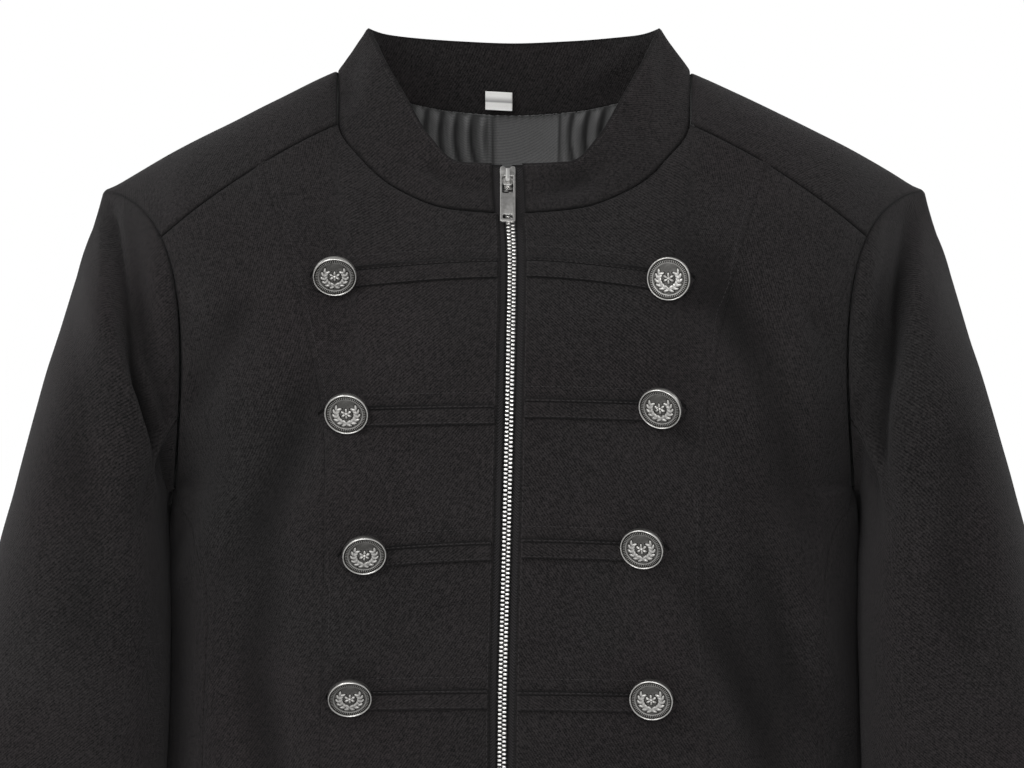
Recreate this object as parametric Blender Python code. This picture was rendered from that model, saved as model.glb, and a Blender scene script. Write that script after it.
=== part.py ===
"""Military style jacket, filled out and hollow, as it hangs from the neck and shoulders.

Blender 4.5, metres, +Z up. The front faces -Y and +X is the viewer's right. The origin is the
middle of the neck opening, a little under the side neck points, where the garment is held.

The body is one surface, body_point(side, angle, height): angle runs from 0 at the centre front to
180 at the centre back, height from -1 at the hem over 0 at the armpit to 1 at the neck and the
shoulder ridge. Every panel is a patch of that surface with the seams as its borders, so panels
meet along the same points with SEAM_GAP between them.
"""

import math

import bpy
import numpy as np
from mathutils import Matrix, Vector
from mathutils.bvhtree import BVHTree

MM = 0.001

# Cloth
CLOTH = 2.0 * MM  # outer cloth with its backing
SEAM_GAP = 0.3 * MM
LAY_GAP = 0.3 * MM  # between a piece and what it lies on

# Body, in millimetres: height, half width, front depth, back depth
TORSO = (
    (-680, 213, 118, 114),
    (-600, 209, 117, 110),
    (-520, 205, 114, 102),
    (-440, 202, 113, 96),
    (-380, 201, 117, 98),
    (-300, 198, 122, 106),
    (-228, 196, 120, 112),
)
TORSO_SQUARE = 2.5  # exponent of the superellipse sections
HEM_Z = -680 * MM
ARMPIT_Z = -228 * MM
ARMHOLE_FRONT = 80.0  # where the armhole starts on the armpit ring, in degrees
ARMHOLE_BACK = 100.0

# Neck seam, in millimetres: angle round the neck from its centre to the side, and the point
NECK_FRONT = (
    (0, (0, -70, -71)),
    (20, (35, -66.5, -68.5)),
    (40, (66, -56, -57)),
    (60, (88.5, -41, -37.5)),
    (76, (100.3, -25, -18.5)),
    (90, (102, 4, 12)),
)
NECK_BACK = (
    (0, (0, 58, -8)),
    (20, (35.2, 55, -5.7)),
    (40, (66, 45.5, 0.3)),
    (60, (88.5, 31, 7)),
    (76, (99.5, 17, 11)),
    (90, (102, 4, 12)),
)
NECK_SIDE_Y = 4 * MM

# Profile curves from the armpit ring to the neck or the ridge, in millimetres: angle on the ring,
# handle above the ring, handle before the top, top (an angle round the neck, or a ridge point)
FRONT_PROFILES = (
    (0.0, (0, -4, 62), (0, -22, -38), 0),
    (5.0, (0, -4, 63), (-2, -24, -36), 20),
    (10.9, (0, -5, 66), (-2, -28, -33), 40),
    (15.8, (0, -5, 70), (0, -32, -27), 60),
    (18.6, (0, -5, 73), (4, -34, -22), 76),
    (20.4, (0, -5, 74), (16, -42, -22), 90),
    (27.4, (-4, -5, 78), (2, -56, -4), (153, 5, -12)),
    (47.5, (0, -12, 64), (-4, -72, -2), (195, 5, -33)),
    (80.0, (-2, -48, 36), (-67, -97, -12), (237, 5, -56)),
)
BACK_PROFILES = (
    (0.0, (0, 4, 76), (0, 30, -32), 0),
    (5.0, (0, 4, 76), (0, 31, -31), 20),
    (10.9, (0, 5, 78), (-2, 34, -28), 40),
    (15.8, (0, 5, 79), (-4, 39, -22), 60),
    (18.6, (0, 5, 80), (-3, 46, -12), 76),
    (20.4, (0, 5, 80), (2, 50, 5), 90),
    (27.4, (0, 6, 81), (0, 58, 3), (153, 5, -12)),
    (47.5, (0, 13, 66), (-4, 68, 0), (195, 5, -33)),
    (80.0, (-3, 56, 34), (-60, 84, -12), (237, 5, -56)),
)
NECK_CORNER = 20.4  # the profile that ends at the side neck point
SEAM_CORNER = 18.6  # the profile where the forward shoulder seam leaves the neck

# Forward shoulder seam, seen from the front: x and z of its ends, and how far it bows up
SHOULDER_SEAM = ((100.3 * MM, -18.5 * MM), (202 * MM, -85 * MM))
SHOULDER_SEAM_BOW = 5 * MM

# Side panel seams below the armpit, in millimetres and degrees from the nearer centre
SIDE_SEAM = ((-680, 57), (-380, 57), (-310, 57), (-281, 59), (-250, 66), (-228, 80))

# Collar rim round the neck, in millimetres: neck angle, rim point
FRONT_RIM = (
    (0, (0, -55, -42.3)),
    (20, (30, -52.5, -41.5)),
    (40, (48.5, -42, -25.4)),
    (60, (62, -28, -2.3)),
    (76, (75, -13, 20.2)),
    (90, (84, 5, 37.5)),
)
BACK_RIM = (
    (0, (0, 50, 31.5)),
    (20, (30, 48.5, 32.5)),
    (40, (56, 42, 34)),
    (60, (76, 30, 36)),
    (76, (84.5, 15, 38.5)),
    (90, (84, 5, 37.5)),
)

# Sleeve, in millimetres: outer x and z, inner x and z, half depth, y of the middle
SLEEVE = (
    (237, -56, 195.8, -228, 70, 0),
    (243, -78, 198.5, -231, 74, -1),
    (252, -108, 198.2, -240, 76, -8),
    (262.5, -144, 197.4, -254, 75, -18),
    (273.5, -184, 196.4, -273, 72, -28),
    (285, -228, 195.8, -299, 68, -36),
    (301, -290, 196.4, -341, 62, -44),
    (322, -368, 198.4, -397, 54, -50),
    (340, -434, 221, -464, 50, -55),
    (358.5, -502, 252, -531, 47, -60),
    (377.5, -572, 284, -599, 44, -66),
    (397, -643, 315, -667, 42, -73),
)
SLEEVE_SQUARE = 2.2
SLEEVE_BLEND = 0.34  # share of the sleeve over which the armhole's shape fades out
FORE_SEAM = 7  # armhole points from the shoulder tip to each seam of the two-piece sleeve
HIND_SEAM = 16

# Zip, whose line wanders a little to the viewer's left of the middle, in millimetres: z and x
ZIP_LINE = ((-680, -8), (-357, -6.7), (-260, -4.4), (-150, -2.0), (-98, -1.2), (-49, -4.0))
EDGE_FROM_ZIP = 6.6 * MM
COLLAR_EDGE_FROM_ZIP = 8.6 * MM
TAPE = (2.9 * MM, 14.5 * MM)
TAPE_THICK = 0.8 * MM
TAPE_LIFT = -2.65 * MM
CHAIN_HALF = 2.6 * MM
CHAIN_DEPTH = (1.4 * MM, 4.0 * MM)  # below the face of the cloth

# Slider and pull: sizes as width, depth, height, in the slider's own frame (x, out, up)
SLIDER_MIDDLE = 0.735  # share of the collar's front height
SLIDER_PLATE = (8.8 * MM, 1.2 * MM, 12.6 * MM)
SLIDER_CORE = (3.8 * MM, 11.0 * MM)
SLIDER_GAP = 3.4 * MM  # between its two plates, round the tape
BRIDGE = (2.4 * MM, 3.4 * MM, 8.4 * MM)
BRIDGE_WALL = 1.0 * MM
HINGE_UP = -0.4 * MM
HINGE_OUT = 1.35 * MM
PULL = (8.6 * MM, 1.4 * MM, 31.5 * MM)
PULL_BAR = 1.3 * MM
PULL_FRAME = 11.5 * MM  # length of the opening that the bridge passes
PULL_FRAME_WIDTH = 6.3 * MM
PULL_SLOT = (5.8 * MM, 2.7 * MM)
PULL_SLOT_FROM_END = 2.0 * MM
PULL_LEAN = 1.5  # degrees towards the cloth

# Collar layers
INNER_COLLAR_LIFT = -2.3 * MM
INNER_COLLAR_THICK = 1.2 * MM
INNER_COLLAR_EDGE = 17 * MM
LINING_LIFT = -2.3 * MM
LINING_THICK = 0.8 * MM
LABEL = (16 * MM, 9 * MM, 0.4 * MM)
LABEL_X = -9 * MM
LABEL_UP = 0.15  # share of the collar's lowest face

# Straps: width, thickness, end by the zip, reach of the tip past the button
STRAP_WIDTH = 11.5 * MM
STRAP_THICK = 1.2 * MM
STRAP_GAP = 0.4 * MM
STRAP_FROM_ZIP = 8.3 * MM
STRAP_TIP_RADIUS = 7.2 * MM
STRAP_TIP_REACH = 14.5 * MM
# Rows, in millimetres and degrees. For the left and the right of each: the strap's height at the
# zip, x and z of the button's middle, how far its face droops, and how far it turns to the
# viewer's right
ROWS = (
    ((-103, -100.6, -107.3, 33, 0), (-102.5, 86.8, -108.9, 9, -11)),
    ((-185, -93.4, -184.3, 28, -5), (-181.5, 81.5, -181.4, 27, -19)),
    ((-261, -83.4, -263.0, 33, 6), (-259.5, 71.2, -259.4, 27, -15)),
    ((-343.5, -91.5, -342.7, 36, 3), (-344.5, 76.4, -343.4, 25, -10)),
)
STRAP_BELOW = 2.3 * MM  # strap's middle line under the button's middle
STRAP_SAG = 1.6  # exponent of the strap's fall from the zip to the button

# Button profile in millimetres: radius, height above the shank's foot
BUTTON_PROFILE = (
    (0, 8.7), (10.2, 8.2), (10.9, 9.0), (11.9, 9.0), (12.3, 8.4), (12.2, 7.2),
    (9.0, 5.4), (2.5, 4.7), (2.2, 0), (0, 0),
)
BUTTON_SIDES = 20
BUTTON_FOOT = 0.35 * MM
BUTTON_MIDDLE = 6.8 * MM  # height of its middle above the shank's foot
BUTTON_RIM = (12.2 * MM, 7.2 * MM)  # radius and height of the rim's lowest edge
RIM_OVER_CLOTH = 1.0 * MM  # how far the rim may dip below the strap's face, beside the strap

# Mesh rows and columns
BODY_ROWS = 11
FRONT_ROWS = 6
STRIP_ROWS = 3
BACK_ROWS = 9
CENTRE_ANGLES = (4.5, 8.0, 12.0, 15.5, 18.6, 23.5, 27.4)
SIDE_ANGLES = (27.4, 37.0, 47.5, 63.0, 80.0)
RIDGE_ANGLES = (20.4, 24.0, 27.4, 37.0, 47.5, 63.0, 80.0)
BACK_ANGLES = (0.0, 5.5, 11.0, 16.0) + RIDGE_ANGLES
SIDE_COLUMNS = 4
LINING_ROWS = 5
COLLAR_LIFTS = (0.0, 0.33, 0.67, 1.0)


# ---------------------------------------------------------------- curves and surfaces


def slopes(knots, rows):
    """Monotone slopes (Fritsch-Butland) of each column of rows at its knots."""
    step = np.diff(knots)[:, None]
    rise = np.diff(rows, axis=0) / step
    inner = np.zeros_like(rows[1:-1])
    same = rise[:-1] * rise[1:] > 0
    weight_a = 2 * step[1:] + step[:-1]
    weight_b = step[1:] + 2 * step[:-1]
    with np.errstate(divide="ignore", invalid="ignore"):
        mean = (weight_a + weight_b) / (weight_a / rise[:-1] + weight_b / rise[1:])
    inner[same] = mean[same]
    return np.vstack([rise[:1], inner, rise[-1:]])


def through(knots, rows, at):
    """Smooth curve through the rows at their knots, read at one place."""
    knots = np.asarray(knots, float)
    rows = np.asarray(rows, float)
    slope = slopes(knots, rows)
    at = min(max(at, knots[0]), knots[-1])
    k = min(int(np.searchsorted(knots, at, side="right")) - 1, len(knots) - 2)
    step = knots[k + 1] - knots[k]
    t = (at - knots[k]) / step
    return (
        rows[k] * (2 * t**3 - 3 * t**2 + 1)
        + rows[k + 1] * (3 * t**2 - 2 * t**3)
        + step * slope[k] * (t**3 - 2 * t**2 + t)
        + step * slope[k + 1] * (t**3 - t**2)
    )


def smoothstep(t):
    t = min(max(t, 0.0), 1.0)
    return t * t * (3 - 2 * t)


def power(value, exponent):
    return math.copysign(abs(value) ** exponent, value)


def ring_point(angle, z):
    """Point of the right half of the body's section, angle 0 to 180 from the front."""
    half, front, back = through([r[0] * MM for r in TORSO], [r[1:] for r in TORSO], z) * MM
    turn = math.radians(angle)
    depth = front if angle <= 90 else back
    return np.array((
        half * power(math.sin(turn), 2 / TORSO_SQUARE),
        -depth * power(math.cos(turn), 2 / TORSO_SQUARE),
        z,
    ))


def neck_point(turn, front):
    """Point of the neck seam's right half, turn 0 at the centre and 90 at the side neck."""
    table = NECK_FRONT if front else NECK_BACK
    return through([r[0] for r in table], [r[1] for r in table], turn) * MM


def profile_controls(profiles, front):
    """Angles of the profiles, and the four Bezier points of each, mirrored past the centre."""
    angles, controls = [], []
    for angle, lower, upper, top in profiles:
        start = ring_point(angle if front else 180 - angle, ARMPIT_Z)
        end = np.array(top) * MM if isinstance(top, tuple) else neck_point(top, front)
        points = (start, start + np.array(lower) * MM, end + np.array(upper) * MM, end)
        angles.append(angle)
        controls.append(np.concatenate(points))
    mirrored = controls[1] * np.tile((-1, 1, 1), 4)
    return [-angles[1]] + angles, [mirrored] + controls


FRONT_CONTROLS = profile_controls(FRONT_PROFILES, True)
BACK_CONTROLS = profile_controls(BACK_PROFILES, False)


def upper_point(angle, share, front):
    """Point of the upper front or back, angle from its own centre, share 0 to 1 up the profile."""
    controls = through(*(FRONT_CONTROLS if front else BACK_CONTROLS), angle).reshape(4, 3)
    t = share
    weights = np.array(((1 - t) ** 3, 3 * t * (1 - t) ** 2, 3 * t * t * (1 - t), t**3))
    return weights @ controls


def body_point(side, angle, height):
    """Point on the outer face of the body."""
    if height <= 0:
        point = ring_point(angle, ARMPIT_Z + height * (ARMPIT_Z - HEM_Z))
    elif angle <= 90:
        point = upper_point(angle, height, True)
    else:
        point = upper_point(180 - angle, height, False)
    return point * (side, 1, 1)


def unit(vector):
    return vector / np.linalg.norm(vector)


def surface_normal(surface, u, v, du, dv, outward):
    """Normal of surface(u, v) from differences, turned to the side that outward points to."""
    across = surface(u + du, v) - surface(u - du, v)
    along = surface(u, v + dv) - surface(u, v - dv)
    normal = unit(np.cross(across, along))
    return normal if normal @ outward > 0 else -normal


def body_vertex(side, angle, height):
    """(point, normal) on the body."""
    front = angle <= 90
    inset = min(max(height, -0.999), 0.995)
    inside = angle
    if height > 0:
        limit = ARMHOLE_FRONT - 0.3
        inside = min(angle, limit) if front else max(angle, 180 - limit)
    inside = min(max(inside, 0.3), 179.7)
    point = body_point(side, angle, height)
    outward = np.array((0.2 * side, -1.0 if front else 1.0, 0.4 if height > 0 else 0.0))
    if 70 < angle < 110 and height <= 0.05:
        outward = np.array((side, 0.0, 0.0))
    normal = surface_normal(
        lambda a, h: body_point(side, a, h), inside, inset, 0.2, 0.004, outward
    )
    return point, normal


def side_seam(height):
    """Angle from the nearer centre of the side panel seams, for heights up to the armpit."""
    z = ARMPIT_Z + height * (ARMPIT_Z - HEM_Z)
    return float(through([r[0] * MM for r in SIDE_SEAM], [[r[1]] for r in SIDE_SEAM], z)[0])


def solve(function, low, high):
    """Where a rising function crosses zero."""
    for _ in range(40):
        middle = (low + high) / 2
        if function(middle) < 0:
            low = middle
        else:
            high = middle
    return (low + high) / 2


def shoulder_seam(angle):
    """Height at which a front profile meets the forward shoulder seam."""
    (x0, z0), (x1, z1) = SHOULDER_SEAM

    def above(height):
        x, _, z = upper_point(angle, height, True)
        share = (x - x0) / (x1 - x0)
        return z - (z0 + share * (z1 - z0) + 4 * SHOULDER_SEAM_BOW * share * (1 - share))

    return 1.0 if angle <= SEAM_CORNER else solve(above, 0.3, 1.0)


def zip_x(z):
    """x of the zip's line at a height."""
    return float(through([r[0] * MM for r in ZIP_LINE], [[r[1]] for r in ZIP_LINE], z)[0]) * MM


def angle_by_zip(side, from_zip, height):
    """Angle at which the front lies this far from the zip's line."""
    x = zip_x(body_point(side, 0, height)[2]) + side * from_zip
    return solve(lambda angle: side * (body_point(side, angle, height)[0] - x), -6.0, 40.0)


# ---------------------------------------------------------------- sleeve


def armhole_loop(side):
    """(point, body normal, share of the loop) of the armhole's corners, from the shoulder tip
    down the front, along the armpit and up the back."""
    seam = shoulder_seam(ARMHOLE_FRONT)
    strip = [1 - (1 - seam) * i / STRIP_ROWS for i in range(STRIP_ROWS)]
    front = strip + [seam * (1 - i / FRONT_ROWS) for i in range(FRONT_ROWS)]
    places = [(ARMHOLE_FRONT, height) for height in front]
    width = ARMHOLE_BACK - ARMHOLE_FRONT
    places += [(ARMHOLE_FRONT + width * i / SIDE_COLUMNS, 0.0) for i in range(SIDE_COLUMNS)]
    places += [(ARMHOLE_BACK, i / BACK_ROWS) for i in range(BACK_ROWS)]
    corners = [body_vertex(side, angle, height) for angle, height in places]
    lengths = [0.0]
    for i, (point, _) in enumerate(corners):
        lengths.append(lengths[-1] + np.linalg.norm(corners[(i + 1) % len(corners)][0] - point))
    bottom = len(strip) + FRONT_ROWS + SIDE_COLUMNS // 2
    shares = [
        0.5 * lengths[i] / lengths[bottom]
        if i <= bottom
        else 0.5 + 0.5 * (lengths[i] - lengths[bottom]) / (lengths[-1] - lengths[bottom])
        for i in range(len(corners))
    ]
    return [(point, normal, share) for (point, normal), share in zip(corners, shares)]


def sleeve_ring(side, share_down, share_round):
    """Point of the free sleeve's section."""
    knots = np.linspace(0, 1, len(SLEEVE))
    outer_x, outer_z, inner_x, inner_z, depth, y = through(knots, SLEEVE, share_down) * MM
    turn = 2 * math.pi * share_round
    middle = np.array(((outer_x + inner_x) / 2, y, (outer_z + inner_z) / 2))
    half = np.array(((outer_x - inner_x) / 2, 0, (outer_z - inner_z) / 2))
    point = (
        middle
        + half * power(math.cos(turn), 2 / SLEEVE_SQUARE)
        + np.array((0, -depth, 0)) * power(math.sin(turn), 2 / SLEEVE_SQUARE)
    )
    return point * (side, 1, 1)


def sleeve_grid(side):
    """Rows of (point, normal) down the sleeve, each row once round from the shoulder tip."""
    loop = armhole_loop(side)
    rows = []
    for k in range(len(SLEEVE)):
        down = k / (len(SLEEVE) - 1)
        fade = 1 - smoothstep(down / SLEEVE_BLEND)
        rows.append([
            sleeve_ring(side, down, share) + fade * (point - sleeve_ring(side, 0, share))
            for point, _, share in loop
        ])
    grid = []
    count = len(loop)
    for k, row in enumerate(rows):
        below, above = rows[min(k + 1, len(rows) - 1)], rows[max(k - 1, 0)]
        centre = np.mean(row, axis=0)
        out = []
        for i, point in enumerate(row):
            round_it = row[(i + 1) % count] - row[(i - 1) % count]
            normal = unit(np.cross(round_it, below[i] - above[i]))
            normal = normal if normal @ (point - centre) > 0 else -normal
            if k == 0:
                normal = unit(normal + loop[i][1])
            out.append((point, normal))
        grid.append(out)
    return grid


def armhole_normals(side):
    """The normal shared by the body and the sleeve at each armhole corner, by rounded point."""
    return {key_of(point): normal for point, normal in sleeve_grid(side)[0]}


# ---------------------------------------------------------------- collar


def collar_point(corner, lift):
    """Point of the collar's outer face, lift 0 at the neck seam and 1 at the rim. A corner is
    (side, front, profile angle), with one angle for each end where its column leans."""
    side, front, angle = corner
    if isinstance(angle, tuple):
        angle = angle[0] + (angle[1] - angle[0]) * lift
    profiles = FRONT_PROFILES if front else BACK_PROFILES
    rim = FRONT_RIM if front else BACK_RIM
    neck_angles = [p[0] for p in profiles if not isinstance(p[3], tuple)]
    knots = [-neck_angles[1]] + neck_angles
    points = [np.array(r[1]) * MM for r in rim]
    points = [points[1] * (-1, 1, 1)] + points
    top = through(knots, points, abs(angle))
    foot = upper_point(abs(angle), 1.0, front)
    sign = side if angle >= 0 else -side
    return (foot + (top - foot) * lift) * (sign, 1, 1)


def collar_edge(side, from_zip):
    """The collar's column that stands at this distance from the zip."""
    def lean(lift):
        x = zip_x(collar_point((side, True, 0), lift)[2]) + side * from_zip
        return solve(lambda a: side * (collar_point((side, True, a), lift)[0] - x), -4.0, 15.0)

    return side, True, (lean(0.0), lean(1.0))


def collar_corners(from_zip):
    """Corners round the neck from the left front edge over the back to the right front edge."""
    def front_side(side):
        edge = collar_edge(side, from_zip)
        steps = [a for a in CENTRE_ANGLES if edge[2][0] + 1 < a <= SEAM_CORNER]
        left_edge = [
            SEAM_CORNER + (NECK_CORNER - SEAM_CORNER) * i / STRIP_ROWS
            for i in range(1, STRIP_ROWS)
        ]
        return [edge] + [(side, True, a) for a in steps + left_edge]

    back = [a for a in BACK_ANGLES if a <= NECK_CORNER]
    left = front_side(-1) + [(-1, False, a) for a in reversed(back)]
    right = front_side(1) + [(1, False, a) for a in reversed(back[1:])]
    return left + right[::-1]


def collar_grid(corners, lifts):
    """Rows of (point, normal) from the neck seam up. The seam's normals lie between the collar's
    and the body's."""
    points = [[collar_point(corner, lift) for corner in corners] for lift in lifts]
    grid = []
    for row in points:
        out = []
        for i, point in enumerate(row):
            along = row[min(i + 1, len(row) - 1)] - row[max(i - 1, 0)]
            up = points[-1][i] - points[0][i]
            normal = unit(np.cross(along, up))
            centre = np.array((0, NECK_SIDE_Y, point[2]))
            normal = normal if normal @ (point - centre) > 0 else -normal
            if row is points[0]:
                side, front, angle = corners[i]
                angle = angle[0] if isinstance(angle, tuple) else angle
                normal = unit(normal + body_vertex(side, angle if front else 180 - angle, 1.0)[1])
            out.append((point, normal))
        grid.append(out)
    return grid


# ---------------------------------------------------------------- nets and solids


def key_of(point):
    return tuple(np.round(np.asarray(point) / (0.02 * MM)).astype(int).tolist())


class Net:
    """Faces on one surface, with welded corners and a normal at each."""

    def __init__(self):
        self.points, self.normals, self.faces, self.index = [], [], [], {}

    def corner(self, point, normal):
        key = key_of(point)
        if key not in self.index:
            self.index[key] = len(self.points)
            self.points.append(np.array(point, float))
            self.normals.append(np.zeros(3))
        self.normals[self.index[key]] += normal
        return self.index[key]

    def grid(self, rows):
        """Adds rows of (point, normal), each cell split along the same diagonal."""
        ids = [[self.corner(*vertex) for vertex in row] for row in rows]
        for low, high in zip(ids, ids[1:]):
            for i in range(len(low) - 1):
                for face in ((low[i], low[i + 1], high[i + 1]), (low[i], high[i + 1], high[i])):
                    if len(set(face)) == 3:
                        self.faces.append(list(face))
        return self

    def share_normals(self, shared):
        """Takes over the normals of the corners that another piece also has."""
        for key, normal in shared.items():
            if key in self.index:
                self.normals[self.index[key]] = np.array(normal)
        return self


def oriented_faces(points, normals, faces):
    """The faces, each turned so that it agrees with its corners' normals."""
    out = []
    for face in faces:
        a, b, c = (points[i] for i in face)
        agrees = np.cross(b - a, c - a) @ sum(normals[i] for i in face) > 0
        out.append(face if agrees else face[::-1])
    return out


def net_solid(name, net, material, thickness=CLOTH, lift=0.0, gap=SEAM_GAP):
    """Solid between the net moved out by lift and the same net thickness below it. Its border is
    drawn in by half the gap, so that two pieces with a common border stay clear."""
    points = np.array(net.points)
    normals = np.array([unit(n) for n in net.normals])
    faces = oriented_faces(points, normals, net.faces)
    edges = {}
    for face in faces:
        for a, b in zip(face, face[1:] + face[:1]):
            edges[(a, b)] = True
    border = [(a, b) for a, b in edges if (b, a) not in edges]
    away = {}
    for a, b in border:
        normal = unit(normals[a] + normals[b])
        away.setdefault(a, []).append(unit(np.cross(points[b] - points[a], normal)))
        away.setdefault(b, []).append(away[a][-1])
    drawn = points.copy()
    for corner, sides in away.items():
        total = sum(sides)
        drawn[corner] -= total / max(1 + sides[0] @ sides[-1], 0.5) * gap / 2
    count = len(points)
    outer = drawn + normals * lift
    inner = drawn + normals * (lift - thickness)
    shell = [list(face) for face in faces]
    shell += [[corner + count for corner in reversed(face)] for face in faces]
    for a, b in border:
        if key_of(points[a]) < key_of(points[b]):
            shell += [[b, a, b + count], [a, a + count, b + count]]
        else:
            shell += [[b, a, a + count], [b, a + count, b + count]]
    return add_mesh(name, np.vstack([outer, inner]), shell, material)


def add_mesh(name, points, faces, material):
    mesh = bpy.data.meshes.new(name)
    mesh.from_pydata([tuple(p) for p in points], [], faces)
    mesh.materials.append(material)
    mesh.shade_smooth()
    mesh.set_sharp_from_angle(angle=math.radians(40))
    obj = bpy.data.objects.new(name, mesh)
    bpy.context.scene.collection.objects.link(obj)
    return obj


def ribbon(name, path, half, depths, material):
    """Solid strip along a path of (point, normal): half its width, depths its two faces."""
    points, faces = [], []
    for point, normal in path:
        for x, depth in ((-half, depths[0]), (half, depths[0]), (half, depths[1]), (-half, depths[1])):
            points.append(point + np.array((x, 0, 0)) + normal * (0, 1, 1) * depth)
    for k in range(len(path) - 1):
        for i in range(4):
            j = (i + 1) % 4
            faces.append([4 * k + i, 4 * k + j, 4 * k + 4 + j, 4 * k + 4 + i])
    faces.append([3, 2, 1, 0])
    last = 4 * (len(path) - 1)
    faces.append([last, last + 1, last + 2, last + 3])
    return add_mesh(name, points, faces, material)


def new_material(name, colour, roughness, metallic=0.0):
    material = bpy.data.materials.new(name)
    material.use_nodes = True
    shader = material.node_tree.nodes["Principled BSDF"]
    shader.inputs["Base Color"].default_value = (*colour, 1)
    shader.inputs["Roughness"].default_value = roughness
    shader.inputs["Metallic"].default_value = metallic
    material.diffuse_color = (*colour, 1)
    return material


# ---------------------------------------------------------------- cloth pieces

SIDES = ((-1, "left"), (1, "right"))  # the viewer's left and right


def lower_heights():
    return [-1 + k / BODY_ROWS for k in range(BODY_ROWS)]


def centre_front(side, word, material, shared):
    net = Net()
    rows = []
    shares = [(False, h) for h in lower_heights()]
    shares += [(True, k / FRONT_ROWS) for k in range(FRONT_ROWS + 1)]
    for upper, share in shares:
        row = []
        first = angle_by_zip(side, EDGE_FROM_ZIP, share)
        for angle in (first,) + CENTRE_ANGLES:
            height = share * shoulder_seam(angle) if upper else share
            row.append(body_vertex(side, angle, height))
        rows.append(row)
    net_solid(f"centre_front_{word}", net.grid(rows).share_normals(shared), material)
    return net


def side_front(side, word, material, shared):
    rows = []
    first, last = SIDE_ANGLES[0], SIDE_ANGLES[-1]
    for height in lower_heights():
        seam = side_seam(height)
        steps = [(a - first) / (last - first) for a in SIDE_ANGLES]
        rows.append([body_vertex(side, first + (seam - first) * s, height) for s in steps])
    for k in range(FRONT_ROWS + 1):
        share = k / FRONT_ROWS
        rows.append([body_vertex(side, a, share * shoulder_seam(a)) for a in SIDE_ANGLES])
    net = Net().grid(rows).share_normals(shared)
    net_solid(f"side_front_{word}", net, material)
    return net


def side_panel(side, word, material, shared):
    rows = []
    for height in lower_heights() + [0.0]:
        first, last = side_seam(height), 180 - side_seam(height)
        width = last - first
        row = [body_vertex(side, first + width * i / SIDE_COLUMNS, height)
               for i in range(SIDE_COLUMNS + 1)]
        rows.append(row)
    net_solid(f"side_panel_{word}", Net().grid(rows).share_normals(shared), material)


def back_angle(angle, height):
    """The back's columns keep to the side panel seam below the armpit."""
    share = angle / BACK_ANGLES[-1]
    return 180 - share * (side_seam(height) if height < 0 else BACK_ANGLES[-1])


def shoulder_strip(side):
    """Rows of the back panel that lie in front of the ridge, from the seam up to the ridge."""
    low = [SEAM_CORNER] + list(CENTRE_ANGLES[-2:]) + list(SIDE_ANGLES[1:])
    rows = []
    for k in range(STRIP_ROWS + 1):
        up = k / STRIP_ROWS
        row = []
        for seam_angle, ridge_angle in zip(low, RIDGE_ANGLES):
            angle = seam_angle + (ridge_angle - seam_angle) * up
            height = shoulder_seam(seam_angle)
            row.append(body_vertex(side, angle, height + (1 - height) * up))
        rows.append(row)
    return rows


def back_panel(material, shared):
    net = Net()
    for side, _ in SIDES:
        strip = shoulder_strip(side)
        rows = [[body_vertex(side, back_angle(a, h), h) for a in BACK_ANGLES]
                for h in lower_heights() + [k / BACK_ROWS for k in range(BACK_ROWS)]]
        neck = [body_vertex(side, 180 - a, 1.0) for a in BACK_ANGLES if a < NECK_CORNER]
        rows.append(neck + strip[-1])
        net.grid(rows).grid(strip)
    net_solid("back", net.share_normals(shared), material)


def sleeves(side, word, material):
    grid = sleeve_grid(side)
    upper = [row[HIND_SEAM:] + row[: FORE_SEAM + 1] for row in grid]
    under = [row[FORE_SEAM : HIND_SEAM + 1] for row in grid]
    net_solid(f"upper_sleeve_{word}", Net().grid(upper), material)
    net_solid(f"under_sleeve_{word}", Net().grid(under), material)


def collar(material):
    """The outer band, and the normals that it shares with the body along the neck seam."""
    seam = collar_grid(collar_corners(EDGE_FROM_ZIP), COLLAR_LIFTS)
    grid = collar_grid(collar_corners(COLLAR_EDGE_FROM_ZIP), COLLAR_LIFTS)
    net_solid("collar_outer", Net().grid(grid), material)
    return {key_of(point): normal for point, normal in seam[0]}


def inner_collar(material):
    grid = collar_grid(collar_corners(INNER_COLLAR_EDGE), COLLAR_LIFTS)
    net_solid(
        "collar_inner", Net().grid(grid), material,
        thickness=INNER_COLLAR_THICK, lift=INNER_COLLAR_LIFT,
    )


def neck_lining(material, shared):
    """The part of the lining that shows inside the back of the neck."""
    net = Net()
    angles = [a for a in BACK_ANGLES if a < NECK_CORNER]
    for side, _ in SIDES:
        net.grid([
            [body_vertex(side, 180 - a, k / BACK_ROWS) for a in angles]
            for k in range(BACK_ROWS - LINING_ROWS, BACK_ROWS + 1)
        ])
    net_solid(
        "neck_lining", net.share_normals(shared), material,
        thickness=LINING_THICK, lift=LINING_LIFT,
    )


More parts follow.
